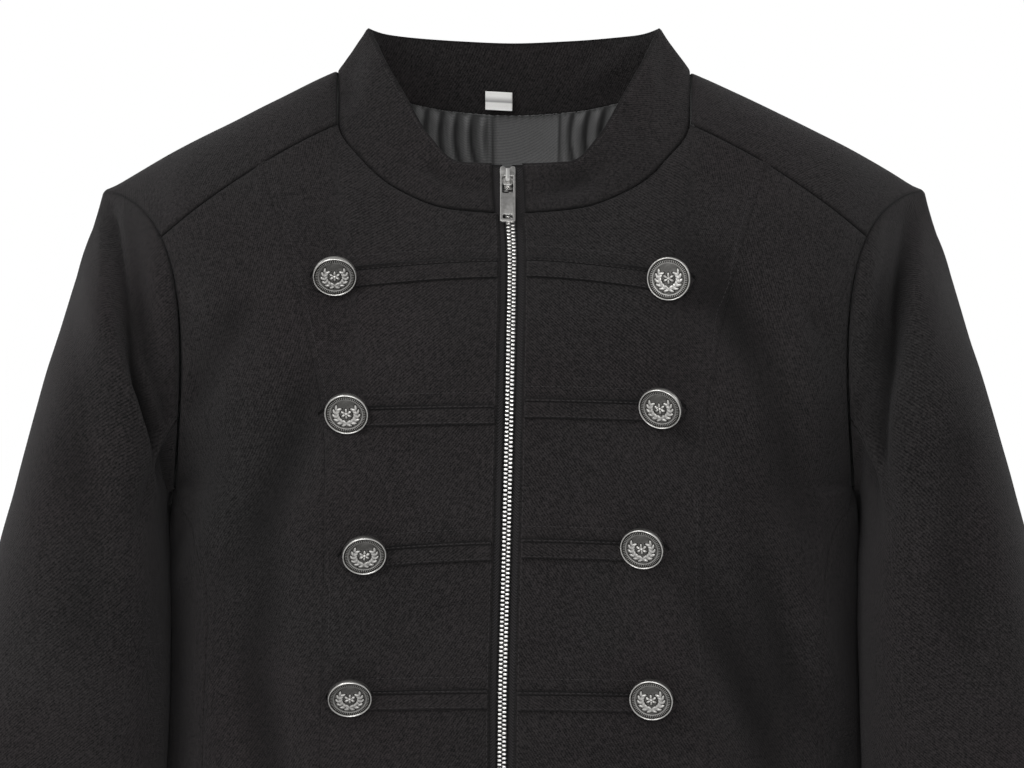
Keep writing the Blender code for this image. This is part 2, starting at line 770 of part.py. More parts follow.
def label(material):
    """Blank tag on the inner collar, just above the neck seam, flat on one face of it."""
    width, height, thick = LABEL
    behind = INNER_COLLAR_LIFT - INNER_COLLAR_THICK - LAY_GAP
    corners = [(-1, False, BACK_ANGLES[1]), (-1, False, BACK_ANGLES[0]), (1, False, BACK_ANGLES[1])]
    lifts = COLLAR_LIFTS[:2]
    (low_side, low_mid, _), (high_side, high_mid, _) = collar_grid(corners, lifts)
    tall = np.linalg.norm(high_mid[0] - low_mid[0])
    rows = []
    for up in (LABEL_UP, LABEL_UP + height / tall):
        row = []
        for x in (LABEL_X - width / 2, LABEL_X + width / 2):
            vertex = []
            for low_a, low_b, high_a, high_b in zip(low_mid, low_side, high_mid, high_side):
                share = x / low_side[0][0]
                low = low_a + (low_b - low_a) * share
                vertex.append(low + (high_a + (high_b - high_a) * share - low) * up)
            row.append((vertex[0], unit(vertex[1])))
        rows.append(row)
    net_solid("label", Net().grid(rows), material, thickness=thick, lift=behind, gap=0.0)


# ---------------------------------------------------------------- what lies on the front


def front_surface(nets):
    """The whole front as one fine surface, with the panels' own faces, to place pieces on. A
    place is then never behind either of them."""
    points, faces = [], []
    for net in nets:
        base = len(points)
        points += [tuple(p) for p in net.points]
        faces += [tuple(base + corner for corner in face) for face in net.faces]
    angles = np.linspace(0, 62, 63)
    heights = np.concatenate([np.linspace(-1, 0, 90)[:-1], np.linspace(0, 1, 60)])
    for side in (-1, 1):
        base = len(points)
        points += [tuple(body_point(side, a, h)) for h in heights for a in angles]
        for r in range(len(heights) - 1):
            for c in range(len(angles) - 1):
                corner = base + r * len(angles) + c
                faces.append((corner, corner + 1, corner + len(angles) + 1, corner + len(angles)))
    return BVHTree.FromPolygons(points, faces)


def on_front(tree, x, z):
    """(point, normal) of the front at x, z."""
    def hit(x, z):
        place = tree.ray_cast(Vector((x, -1, z)), Vector((0, 1, 0)))[0]
        return np.array(place)

    step = 3 * MM
    across = hit(x + step, z) - hit(x - step, z)
    up = hit(x, z + step) - hit(x, z - step)
    return hit(x, z), unit(np.cross(across, up))


def strap_line(side, button_x, button_z, zip_z):
    """Places along the strap: (x, z, half width)."""
    start = zip_x(zip_z) + side * STRAP_FROM_ZIP
    end = button_x + side * STRAP_TIP_REACH
    run = abs(button_x - start)
    middle = abs(end - start) - STRAP_TIP_RADIUS
    places = [k / 8 * (middle - 6 * MM) for k in range(9)] + [middle]
    places += [middle + STRAP_TIP_RADIUS * math.sin(math.radians(a)) for a in (30, 55, 75)]
    out = []
    for place in places:
        z = zip_z + (button_z - zip_z) * min(place / run, 1.0) ** STRAP_SAG
        half = STRAP_WIDTH / 2
        if place > middle - 6 * MM:
            half += (STRAP_TIP_RADIUS - half) * smoothstep((place - middle + 6 * MM) / (6 * MM))
        if place > middle:
            half = math.sqrt(STRAP_TIP_RADIUS**2 - (place - middle) ** 2)
        out.append((start + side * place, z, half))
    return out


def strap(name, tree, side, place, material):
    zip_z, button_x, button_z = (v * MM for v in place[:3])
    rows = []
    for x, z, half in strap_line(side, button_x, button_z - STRAP_BELOW, zip_z):
        rows.append([on_front(tree, x, z + half * share) for share in (-1, 0, 1)])
    net_solid(
        name, Net().grid(rows), material,
        thickness=STRAP_THICK, lift=STRAP_GAP + STRAP_THICK, gap=0.0,
    )


def turned_mesh(name, profile, sides, material):
    """Mesh of a profile of (radius, height) turned about Z, from the top down the outside."""
    points, rings, faces = [], [], []
    for radius, height in profile:
        ring = []
        for k in range(sides if radius > 0 else 1):
            turn = 2 * math.pi * k / sides
            ring.append(len(points))
            points.append((radius * math.cos(turn), radius * math.sin(turn), height))
        rings.append(ring)
    for top, low in zip(rings, rings[1:]):
        for k in range(sides):
            a, b = top[k % len(top)], top[(k + 1) % sides % len(top)]
            c, d = low[(k + 1) % sides % len(low)], low[k % len(low)]
            face = [v for n, v in enumerate((a, d, c, b)) if v not in (a, d, c, b)[:n]]
            faces.append(face)
    mesh = bpy.data.meshes.new(name)
    mesh.from_pydata(points, [], faces)
    mesh.materials.append(material)
    mesh.shade_smooth()
    mesh.set_sharp_from_angle(angle=math.radians(35))
    return mesh


def button(name, mesh, tree, place):
    """A shank button on its strap, its face drooping under its own weight. It stands off until
    its lower rim clears the cloth."""
    _, x, z, droop, turn = place
    facing = Vector((0, -1, 0))
    facing.rotate(Matrix.Rotation(math.radians(droop), 3, "X"))
    facing.rotate(Matrix.Rotation(math.radians(turn), 3, "Z"))
    middle = np.array((x, z)) * MM
    foot = middle.copy()
    for _ in range(6):
        seat, normal = on_front(tree, *foot)
        lean = facing.angle(Vector(normal))
        rim = BUTTON_RIM[0] * math.sin(lean) - BUTTON_RIM[1] * math.cos(lean) - RIM_OVER_CLOTH
        clear = max(2.2 * MM * math.sin(lean), rim)
        location = seat + normal * (STRAP_GAP + STRAP_THICK + BUTTON_FOOT + clear)
        reached = location + np.array(facing) * BUTTON_MIDDLE
        foot += middle - reached[[0, 2]]
    obj = bpy.data.objects.new(name, mesh)
    obj.rotation_euler = facing.to_track_quat("Z", "Y").to_euler()
    obj.location = location
    bpy.context.scene.collection.objects.link(obj)


# ---------------------------------------------------------------- zip


def front_line():
    """(point, normal) of the zip's line from the hem up to the neck seam, then on to the rim."""
    path = []
    for height in [-0.996] + lower_heights()[1:] + [k / FRONT_ROWS for k in range(FRONT_ROWS)]:
        angle = angle_by_zip(-1, 0.0, height)
        path.append(body_vertex(-1, angle, height))
    columns = [collar_edge(-1, x) for x in (MM, 0.0, -MM)]
    return path + [row[1] for row in collar_grid(columns, COLLAR_LIFTS)]


def slider_frame():
    """Origin of the slider on the face of the collar, and its out and up directions."""
    edge = collar_edge(-1, 0.0)
    foot, rim = collar_point(edge, 0.0), collar_point(edge, 1.0)
    up = unit((rim - foot) * (0, 1, 1))
    out = np.array((0, -up[2], up[1]))
    return foot + (rim - foot) * SLIDER_MIDDLE, out, up


def box_points(x, out, up):
    """Corners of a box in the slider's frame, each given as (low, high)."""
    return [(i, j, k) for i in x for j in out for k in up]


BOX_FACES = (
    (0, 1, 3, 2), (4, 6, 7, 5), (0, 4, 5, 1), (2, 3, 7, 6), (0, 2, 6, 4), (1, 5, 7, 3),
)


def add_box(name, x, out, up, material):
    obj = add_mesh(name, box_points(x, out, up), [list(f) for f in BOX_FACES], material)
    obj.data.validate()
    return obj


def boolean(target, other, operation):
    modifier = target.modifiers.new(operation.title(), "BOOLEAN")
    modifier.operation = operation
    modifier.object = other
    other.hide_render = True
    other.display_type = "WIRE"


def place_in_slider(obj, origin, out, up, lean=0.0):
    """Puts a mesh drawn in (x, out, up) at the slider, leaned about its own x axis."""
    basis = Matrix((
        (1, 0, 0, origin[0]),
        (0, out[1], up[1], origin[1]),
        (0, out[2], up[2], origin[2]),
        (0, 0, 0, 1),
    ))
    turned = basis @ Matrix.Rotation(math.radians(lean), 4, "X")
    if turned.determinant() < 0:
        obj.data.transform(turned)
        obj.data.flip_normals()
    else:
        obj.data.transform(turned)


def half(size):
    return (-size / 2, size / 2)


def slider(material):
    """Two plates joined by a core, with the bridge that the pull hangs on."""
    origin, out, up = slider_frame()
    width, plate, length = SLIDER_PLATE
    face = -CHAIN_DEPTH[0] + 0.2 * MM + plate
    back = face - plate - SLIDER_GAP - plate
    body = add_box("zip_slider", half(width), (face - plate, face), half(length), material)
    pieces = [
        add_box("slider_back", half(width), (back, back + plate), half(length), material),
        add_box("slider_core", half(SLIDER_CORE[0]), (back + 0.3 * MM, face - 0.3 * MM),
                half(SLIDER_CORE[1] - 1 * MM), material),
    ]
    low, high = HINGE_UP - BRIDGE[2] / 2, HINGE_UP + BRIDGE[2] / 2
    pieces.append(add_box("slider_bridge", half(BRIDGE[0]), (face - 0.4 * MM, face + BRIDGE[1]),
                          (low, high), material))
    hole = add_box("slider_hole", half(BRIDGE[0] + 2 * MM),
                   (face, face + BRIDGE[1] - BRIDGE_WALL),
                   (low + BRIDGE_WALL, high - BRIDGE_WALL), material)
    for piece in pieces:
        boolean(body, piece, "UNION")
    boolean(body, hole, "DIFFERENCE")
    for obj in [body, hole] + pieces:
        place_in_slider(obj, origin, out, up)
    return origin, out, up, face


def pull_tab(frame, material):
    """Flat tab on the bridge, with its hinge bar across the bridge's eye."""
    origin, out, up, face = frame
    width, thick, length = PULL
    hinge = origin + out * (face + HINGE_OUT) + up * HINGE_UP
    top = PULL_BAR / 2
    tab = add_box("pull_tab", half(width), half(thick), (top - length, top), material)
    opening_top = -PULL_BAR / 2
    opening = add_box("pull_opening", half(PULL_FRAME_WIDTH), half(thick * 3),
                      (opening_top - PULL_FRAME, opening_top), material)
    slot_low = top - length + PULL_SLOT_FROM_END
    slot = add_box("pull_slot", half(PULL_SLOT[0]), half(thick * 3),
                   (slot_low, slot_low + PULL_SLOT[1]), material)
    bevel = tab.modifiers.new("Bevel", "BEVEL")
    bevel.width = 0.25 * MM
    bevel.segments = 1
    for cutter in (opening, slot):
        boolean(tab, cutter, "DIFFERENCE")
    for obj in (tab, opening, slot):
        place_in_slider(obj, np.zeros(3), out, up, PULL_LEAN)
        obj.location = Vector(hinge)


def zip_tape(side, word, material):
    """Tape behind the front's edge and, above the neck seam, behind the collar's."""
    rows = []
    for height in lower_heights() + [k / FRONT_ROWS for k in range(FRONT_ROWS)]:
        rows.append([body_vertex(side, angle_by_zip(side, x, height), height) for x in TAPE])
    rows += collar_grid([collar_edge(side, x) for x in TAPE], COLLAR_LIFTS)
    net_solid(
        f"zip_tape_{word}", Net().grid(rows), material, thickness=TAPE_THICK, lift=TAPE_LIFT
    )


def zip_pieces(tape_material, metal):
    path = front_line()
    for side, word in SIDES:
        zip_tape(side, word, tape_material)
    origin, _, up = slider_frame()
    top = origin - up * (SLIDER_PLATE[2] / 2 + LAY_GAP)
    chain = [(point, normal) for point, normal in path if point[2] < top[2]]
    chain.append((top, path[-1][1]))
    ribbon("zip_chain", chain, CHAIN_HALF, (-CHAIN_DEPTH[0], -CHAIN_DEPTH[1]), metal)
    pull_tab(slider(metal), metal)


def main():
    for obj in list(bpy.data.objects):
        bpy.data.objects.remove(obj)
    cloth = new_material("charcoal_twill", (0.018, 0.016, 0.017), 0.85)
    satin = new_material("dark_satin", (0.03, 0.03, 0.032), 0.4)
    white = new_material("label_cloth", (0.75, 0.75, 0.73), 0.8)
    tape = new_material("zip_tape", (0.02, 0.018, 0.02), 0.8)
    silver = new_material("antique_silver", (0.55, 0.53, 0.5), 0.35, 1.0)

    shared = collar(cloth)
    for side, _ in SIDES:
        shared.update(armhole_normals(side))
    fronts = []
    for side, word in SIDES:
        fronts.append(centre_front(side, word, cloth, shared))
        fronts.append(side_front(side, word, cloth, shared))
        side_panel(side, word, cloth, shared)
        sleeves(side, word, cloth)
    back_panel(cloth, shared)
    inner_collar(cloth)
    neck_lining(satin, shared)
    label(white)

    tree = front_surface(fronts)
    button_mesh = turned_mesh(
        "button", [(r * MM, h * MM) for r, h in BUTTON_PROFILE], BUTTON_SIDES, silver
    )
    for number, places in enumerate(ROWS, 1):
        for (side, word), place in zip(SIDES, places):
            strap(f"strap_{word}_{number}", tree, side, place, cloth)
            button(f"button_{word}_{number}", button_mesh, tree, place)
    zip_pieces(tape, silver)


main()
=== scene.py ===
"""Military style jacket: cloth, lining, zip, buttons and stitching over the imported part."""

import math

import bmesh
import bpy
import numpy as np
from bpy.props import FloatProperty, FloatVectorProperty, IntProperty, PointerProperty
from mathutils import Matrix, Vector, noise
from mathutils.bvhtree import BVHTree
from mathutils.kdtree import KDTree


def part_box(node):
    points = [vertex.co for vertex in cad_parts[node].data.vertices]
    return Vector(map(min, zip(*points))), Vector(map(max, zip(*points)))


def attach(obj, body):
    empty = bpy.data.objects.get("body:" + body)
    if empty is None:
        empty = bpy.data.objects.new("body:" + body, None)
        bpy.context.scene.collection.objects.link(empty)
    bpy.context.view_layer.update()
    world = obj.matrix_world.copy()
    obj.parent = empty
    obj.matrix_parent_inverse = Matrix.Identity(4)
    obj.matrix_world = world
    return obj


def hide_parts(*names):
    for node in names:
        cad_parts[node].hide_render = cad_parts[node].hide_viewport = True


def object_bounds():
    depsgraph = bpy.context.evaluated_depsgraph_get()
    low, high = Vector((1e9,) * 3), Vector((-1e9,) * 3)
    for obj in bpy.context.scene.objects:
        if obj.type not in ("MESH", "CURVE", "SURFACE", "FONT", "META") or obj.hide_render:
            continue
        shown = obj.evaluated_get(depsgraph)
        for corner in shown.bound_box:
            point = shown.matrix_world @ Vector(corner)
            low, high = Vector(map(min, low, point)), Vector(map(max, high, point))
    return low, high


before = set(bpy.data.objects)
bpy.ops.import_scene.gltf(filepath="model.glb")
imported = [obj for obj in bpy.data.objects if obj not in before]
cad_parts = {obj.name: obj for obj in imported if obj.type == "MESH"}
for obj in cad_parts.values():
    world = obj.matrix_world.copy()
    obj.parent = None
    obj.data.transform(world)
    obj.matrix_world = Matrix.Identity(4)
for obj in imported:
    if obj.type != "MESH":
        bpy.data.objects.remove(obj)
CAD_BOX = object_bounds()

bl_info = {
    "name": "Military Style Jacket",
    "version": (1, 0, 0),
    "blender": (4, 5, 0),
    "location": "View3D > Sidebar > Jacket",
    "description": "Dresses the jacket's solids with cloth, lining, zip, buttons and stitching",
    "category": "Object",
}

MM = 0.001
SIDES = ((-1, "left"), (1, "right"))  # the viewer's left and right

# ---------------------------------------------------------------- sizes shared with the solids

# Body: height, half width, front depth, back depth
TORSO = MM * np.array((
    (-680, 213, 118, 114),
    (-600, 209, 117, 110),
    (-520, 205, 114, 102),
    (-440, 202, 113, 96),
    (-380, 201, 117, 98),
    (-300, 198, 122, 106),
    (-228, 196, 120, 112),
))
TORSO_SQUARE = 2.5
HEM_Z = -680 * MM
ARMPIT_Z = -228 * MM
ARMHOLE_FRONT = 80.0
ARMHOLE_BACK = 100.0

# Neck seam: angle round the neck from its centre to the side, and the point
NECK_FRONT = (
    (0, (0, -70, -71)),
    (20, (35, -66.5, -68.5)),
    (40, (66, -56, -57)),
    (60, (88.5, -41, -37.5)),
    (76, (100.3, -25, -18.5)),
    (90, (102, 4, 12)),
)
NECK_BACK = (
    (0, (0, 58, -8)),
    (20, (35.2, 55, -5.7)),
    (40, (66, 45.5, 0.3)),
    (60, (88.5, 31, 7)),
    (76, (99.5, 17, 11)),
    (90, (102, 4, 12)),
)
NECK_SIDE_Y = 4 * MM

# Profile curves from the armpit ring to the neck or the ridge: angle, two handles, top
FRONT_PROFILES = (
    (0.0, (0, -4, 62), (0, -22, -38), 0),
    (5.0, (0, -4, 63), (-2, -24, -36), 20),
    (10.9, (0, -5, 66), (-2, -28, -33), 40),
    (15.8, (0, -5, 70), (0, -32, -27), 60),
    (18.6, (0, -5, 73), (4, -34, -22), 76),
    (20.4, (0, -5, 74), (16, -42, -22), 90),
    (27.4, (-4, -5, 78), (2, -56, -4), (153, 5, -12)),
    (47.5, (0, -12, 64), (-4, -72, -2), (195, 5, -33)),
    (80.0, (-2, -48, 36), (-67, -97, -12), (237, 5, -56)),
)
BACK_PROFILES = (
    (0.0, (0, 4, 76), (0, 30, -32), 0),
    (5.0, (0, 4, 76), (0, 31, -31), 20),
    (10.9, (0, 5, 78), (-2, 34, -28), 40),
    (15.8, (0, 5, 79), (-4, 39, -22), 60),
    (18.6, (0, 5, 80), (-3, 46, -12), 76),
    (20.4, (0, 5, 80), (2, 50, 5), 90),
    (27.4, (0, 6, 81), (0, 58, 3), (153, 5, -12)),
    (47.5, (0, 13, 66), (-4, 68, 0), (195, 5, -33)),
    (80.0, (-3, 56, 34), (-60, 84, -12), (237, 5, -56)),
)
NECK_CORNER = 20.4
SEAM_CORNER = 18.6
PRINCESS = 27.4
SHOULDER_SEAM = ((100.3 * MM, -18.5 * MM), (202 * MM, -85 * MM))
SHOULDER_SEAM_BOW = 5 * MM
SIDE_SEAM = ((-680, 57), (-380, 57), (-310, 57), (-281, 59), (-250, 66), (-228, 80))

# Collar rim: neck angle, rim point
FRONT_RIM = (
    (0, (0, -55, -42.3)),
    (20, (30, -52.5, -41.5)),
    (40, (48.5, -42, -25.4)),
    (60, (62, -28, -2.3)),
    (76, (75, -13, 20.2)),
    (90, (84, 5, 37.5)),
)
BACK_RIM = (
    (0, (0, 50, 31.5)),
    (20, (30, 48.5, 32.5)),
    (40, (56, 42, 34)),
    (60, (76, 30, 36)),
    (76, (84.5, 15, 38.5)),
    (90, (84, 5, 37.5)),
)

# Sleeve: outer x and z, inner x and z, half depth, y of the middle
SLEEVE = MM * np.array((
    (237, -56, 195.8, -228, 70, 0),
    (243, -78, 198.5, -231, 74, -1),
    (252, -108, 198.2, -240, 76, -8),
    (262.5, -144, 197.4, -254, 75, -18),
    (273.5, -184, 196.4, -273, 72, -28),
    (285, -228, 195.8, -299, 68, -36),
    (301, -290, 196.4, -341, 62, -44),
    (322, -368, 198.4, -397, 54, -50),
    (340, -434, 221, -464, 50, -55),
    (358.5, -502, 252, -531, 47, -60),
    (377.5, -572, 284, -599, 44, -66),
    (397, -643, 315, -667, 42, -73),
))
SLEEVE_SQUARE = 2.2
SLEEVE_BLEND = 0.34
FRONT_CORNERS = 6  # the sleeve's two seams start at corners of a coarse armhole
STRIP_CORNERS = 3
FORE_SEAM = 7
HIND_SEAM = 16

ZIP_LINE = ((-680, -8), (-357, -6.7), (-260, -4.4), (-150, -2.0), (-98, -1.2), (-49, -4.0))
EDGE_FROM_ZIP = 6.6 * MM
COLLAR_EDGE_FROM_ZIP = 8.6 * MM
TAPE = (2.9 * MM, 14.5 * MM)
TAPE_LIFT = -2.65 * MM
CHAIN_DEPTH = (1.4 * MM, 4.0 * MM)

SLIDER_MIDDLE = 0.735
HINGE_UP = -0.4 * MM
HINGE_OUT = 1.35 * MM
PULL_LEAN = 1.5

INNER_COLLAR_LIFT = -2.3 * MM
INNER_COLLAR_EDGE = 17 * MM
LINING_LIFT = -2.3 * MM
LINING_FROM = 4 / 9  # share of the back's height at which the neck lining ends
LABEL_X = -9 * MM

STRAP_WIDTH = 11.5 * MM
STRAP_THICK = 1.2 * MM
STRAP_GAP = 0.4 * MM
STRAP_FROM_ZIP = 8.3 * MM
STRAP_TIP_RADIUS = 7.2 * MM
STRAP_TIP_REACH = 14.5 * MM
STRAP_SAG = 1.6
# For the left and the right of each row: strap height at the zip, x and z of the button's middle,
# droop and turn of its face
ROWS = (
    ((-103, -100.6, -107.3, 33, 0), (-102.5, 86.8, -108.9, 9, -11)),
    ((-185, -93.4, -184.3, 28, -5), (-181.5, 81.5, -181.4, 27, -19)),
    ((-261, -83.4, -263.0, 33, 6), (-259.5, 71.2, -259.4, 27, -15)),
    ((-343.5, -91.5, -342.7, 36, 3), (-344.5, 76.4, -343.4, 25, -10)),
)
STRAP_BELOW = 2.3 * MM


# ---------------------------------------------------------------- folds, drawn

# Each fold: width, depth, then its line as x and z seen from the front, all in millimetres.
# A negative depth is a ridge.
FRONT_FOLDS = (
    (15, 6.5, ((91, -84), (105, -96), (116, -112), (127, -134), (138, -155), (146, -176),
               (150, -205), (157, -229), (163, -254), (164, -280))),
    (12, 6.5, ((112, -172), (118, -190), (125, -219), (132, -243), (139, -269), (147, -295),
               (156, -319), (164, -340), (173, -360), (184, -382), (196, -420))),
    (17, 7.5, ((100, -240), (107, -266), (113, -289), (124, -316), (136, -342), (145, -367),
               (152, -405), (157, -460), (160, -520))),
    (8, 3.2, ((164, -116), (169, -128), (175, -146), (178, -160))),
    (6, 1.6, ((72, -45), (84, -52), (101, -60))),
    (6, 1.4, ((66, -57), (84, -62), (104, -70))),
    (15, 6.0, ((-112, -150), (-114, -166), (-127, -205), (-138, -237), (-143, -293),
               (-146, -330), (-141, -367), (-134, -430), (-128, -520))),
    (12, 3.8, ((-190, -186), (-180, -172), (-168, -150), (-156, -128), (-146, -108))),
    (10, 3.0, ((-178, -300), (-160, -262), (-140, -232))),
    (22, 3.0, ((60, -420), (72, -500), (92, -590), (104, -672))),
    (22, 3.0, ((-68, -430), (-84, -510), (-104, -600), (-112, -674))),
    (16, 2.5, ((170, -480), (176, -560), (180, -672))),
    (16, 2.5, ((-172, -470), (-176, -560), (-184, -672))),
)
BACK_FOLDS = (
    (18, 6.0, ((176, -210), (150, -260), (128, -330), (118, -410), (124, -520), (134, -640))),
    (18, 6.0, ((-178, -200), (-154, -255), (-130, -325), (-122, -420), (-126, -530), (-138, -650))),
    (14, 3.8, ((190, -150), (168, -168), (140, -178), (112, -182))),
    (14, 3.8, ((-192, -160), (-166, -176), (-138, -184), (-108, -186))),
    (20, 3.2, ((52, -330), (46, -400), (58, -500), (66, -620))),
    (20, 3.0, ((-44, -340), (-50, -420), (-56, -520), (-64, -640))),
    (26, 2.0, ((96, -60), (88, -110), (84, -170), (90, -240))),
    (26, 2.0, ((-98, -64), (-90, -118), (-86, -176), (-92, -244))),
    (12, 1.8, ((-150, -372), (-60, -384), (20, -380), (120, -368))),
)
SLEEVE_FRONT_FOLDS = (
    (4, 5.0, ((229, -70), (226, -92), (219, -124), (212, -156), (206, -190), (203, -226))),
    (11, 8.0, ((228, -62), (225, -78), (220, -104), (213, -132), (207, -156), (203, -184),
               (202, -214), (203, -250))),
    (3.3, 9.0, ((-232, -68), (-230, -80), (-225, -109), (-220, -134), (-214, -160), (-208, -178),
                (-202, -200), (-197, -226), (-195, -262), (-192, -296))),
    (9, 6.5, ((-225, -82), (-219, -108), (-213, -134), (-206, -160), (-200, -184), (-195, -210),
              (-191, -250))),
    (11, -4.0, ((-240, -74), (-239, -100), (-233, -133), (-225, -164), (-219, -196),
                (-216, -230))),
    (16, 3.6, ((262, -150), (252, -200), (246, -262), (250, -330))),
    (16, 3.4, ((-258, -150), (-250, -205), (-240, -262), (-238, -330))),
    (10, 3.4, ((224, -392), (246, -404), (272, -410), (300, -404))),
    (9, 2.8, ((234, -432), (256, -438), (280, -436))),
    (10, 3.4, ((-224, -386), (-248, -400), (-276, -404), (-304, -396))),
    (9, 2.6, ((-232, -426), (-254, -434), (-282, -432))),
    (18, 2.2, ((318, -460), (326, -520), (340, -590))),
    (18, 2.2, ((-316, -456), (-328, -520), (-342, -590))),
)
SLEEVE_BACK_FOLDS = (
    (14, 3.0, ((236, -110), (226, -150), (222, -200), (228, -260))),
    (14, 3.0, ((-236, -112), (-228, -152), (-222, -204), (-230, -262))),
    (10, 3.2, ((240, -380), (266, -392), (298, -388), (320, -376))),
    (9, 2.8, ((252, -424), (276, -430), (306, -422))),
    (10, 3.2, ((-238, -384), (-264, -396), (-298, -392), (-322, -380))),
    (9, 2.6, ((-250, -428), (-276, -436), (-306, -426))),
    (18, 2.4, ((300, -470), (316, -530), (334, -600))),
    (18, 2.4, ((-302, -474), (-316, -534), (-336, -602))),
)
# Seen from the side, as y and z: the same on both sides
SIDE_FOLDS = (
    (14, 2.6, ((-60, -250), (-50, -320), (-56, -420), (-64, -540), (-70, -660))),
    (16, 2.8, ((40, -260), (30, -340), (36, -440), (44, -560), (50, -668))),
    (9, 1.8, ((-70, -236), (-40, -262), (-6, -276))),
)
COLLAR_FRONT_FOLDS = (
    (5, 2.6, ((-54, -36), (-46, -45), (-33, -54), (-11, -58))),
    (7, 3.2, ((7, -59), (26, -56), (42, -49), (55, -38))),
    (6, 2.2, ((86, 26), (88, 6), (86, -16))),
    (6, 1.8, ((-92, 20), (-95, 0), (-94, -14))),
    (5, 1.8, ((60, -8), (70, -20), (76, -34))),
)
COLLAR_BACK_FOLDS = (
    (7, 2.0, ((80, 36), (62, 20), (38, 1))),
    (8, 1.2, ((-70, 32), (-50, 22), (-30, 10))),
)
FOLD_SAMPLES = 40
RIDGE_SHARE = 0.32  # height of the soft ridge beside a trough, as a share of its depth


# ---------------------------------------------------------------- curves and surfaces


def slopes(knots, rows):
    """Monotone slopes (Fritsch-Butland) of each column of rows at its knots."""
    step = np.diff(knots)[:, None]
    rise = np.diff(rows, axis=0) / step
    inner = np.zeros_like(rows[1:-1])
    same = rise[:-1] * rise[1:] > 0
    weight_a = 2 * step[1:] + step[:-1]
    weight_b = step[1:] + 2 * step[:-1]
    with np.errstate(divide="ignore", invalid="ignore"):
        mean = (weight_a + weight_b) / (weight_a / rise[:-1] + weight_b / rise[1:])
    inner[same] = mean[same]
    return np.vstack([rise[:1], inner, rise[-1:]])


def through(knots, rows, at):
    """Smooth curve through the rows at their knots, read at an array of places."""
    knots = np.asarray(knots, float)
    rows = np.asarray(rows, float)
    slope = slopes(knots, rows)
    at = np.clip(np.asarray(at, float), knots[0], knots[-1])
    k = np.clip(np.searchsorted(knots, at, side="right") - 1, 0, len(knots) - 2)
    step = (knots[k + 1] - knots[k])[..., None]
    t = (at - knots[k])[..., None] / step
    return (
        rows[k] * (2 * t**3 - 3 * t**2 + 1)
        + rows[k + 1] * (3 * t**2 - 2 * t**3)
        + step * slope[k] * (t**3 - 2 * t**2 + t)
        + step * slope[k + 1] * (t**3 - t**2)
    )


def smoothstep(t):
    t = np.clip(t, 0.0, 1.0)
    return t * t * (3 - 2 * t)


def power(value, exponent):
    return np.sign(value) * np.abs(value) ** exponent


def unit(vectors):
    return vectors / np.linalg.norm(vectors, axis=-1, keepdims=True)


def arrays(*values):
    return np.broadcast_arrays(*(np.asarray(v, float) for v in values))


def ring_point(angle, z):
    """Points of the right half of the body's section, angle 0 to 180 from the front."""
    angle, z = arrays(angle, z)
    half, front, back = np.moveaxis(through(TORSO[:, 0], TORSO[:, 1:], z), -1, 0)
    turn = np.radians(angle)
    depth = np.where(angle <= 90, front, back)
    across = half * power(np.sin(turn), 2 / TORSO_SQUARE)
    return np.stack((across, -depth * power(np.cos(turn), 2 / TORSO_SQUARE), z), axis=-1)


def profile_controls(profiles, neck, front):
    """Angles of the profiles and the four Bezier points of each, mirrored past the centre."""
    angles, controls = [], []
    for angle, lower, upper, top in profiles:
        start = ring_point(angle if front else 180 - angle, ARMPIT_Z)
        end = MM * np.array(top if isinstance(top, tuple) else dict(neck)[top])
        points = (start, start + MM * np.array(lower), end + MM * np.array(upper), end)
        angles.append(angle)
        controls.append(np.concatenate(points))
    mirrored = controls[1] * np.tile((-1, 1, 1), 4)
    return [-angles[1]] + angles, [mirrored] + controls


CONTROLS = {
    True: profile_controls(FRONT_PROFILES, NECK_FRONT, True),
    False: profile_controls(BACK_PROFILES, NECK_BACK, False),
}


def upper_point(angle, share, front):
    """Points of the upper front or back, angle from its own centre, share 0 to 1 up."""
    angle, share = arrays(angle, share)
    controls = through(*CONTROLS[front], angle).reshape(angle.shape + (4, 3))
    t = share
    weights = np.stack(((1 - t) ** 3, 3 * t * (1 - t) ** 2, 3 * t * t * (1 - t), t**3), axis=-1)
    return np.einsum("...i,...ij->...j", weights, controls)


def body_point(side, angle, height):
    """Points on the outer face of the body: height -1 at the hem, 0 at the armpit, 1 on top."""
    angle, height = arrays(angle, height)
    low = ring_point(angle, ARMPIT_Z + height * (ARMPIT_Z - HEM_Z))
    high = np.where(
        (angle <= 90)[..., None],
        upper_point(angle, height, True),
        upper_point(180 - angle, height, False),
    )
    return np.where((height <= 0)[..., None], low, high) * (side, 1, 1)


def body_normal(side, angle, height):
    angle, height = arrays(angle, height)
    front = angle <= 90
    inset = np.clip(height, -0.999, 0.995)
    limit = ARMHOLE_FRONT - 0.3
    inside = np.where(front, np.minimum(angle, limit), np.maximum(angle, 180 - limit))
    inside = np.clip(np.where(height > 0, inside, angle), 0.3, 179.7)
    across = body_point(side, inside + 0.2, inset) - body_point(side, inside - 0.2, inset)
    along = body_point(side, inside, inset + 0.004) - body_point(side, inside, inset - 0.004)
    normal = unit(np.cross(across, along))
    outward = np.stack((
        np.full(angle.shape, 0.2 * side),
        np.where(front, -1.0, 1.0),
        np.where(height > 0, 0.4, 0.0),
    ), axis=-1)
    flank = (angle > 70) & (angle < 110) & (height <= 0.05)
    outward[flank] = (side, 0.0, 0.0)
    sign = np.sign((normal * outward).sum(axis=-1))
    return normal * np.where(sign == 0, 1, sign)[..., None]


def side_seam(height):
    """Angle from the nearer centre of the side panel seams, for heights up to the armpit."""
    z = ARMPIT_Z + np.asarray(height, float) * (ARMPIT_Z - HEM_Z)
    table = np.array(SIDE_SEAM)
    return through(table[:, 0] * MM, table[:, 1:], z)[..., 0]


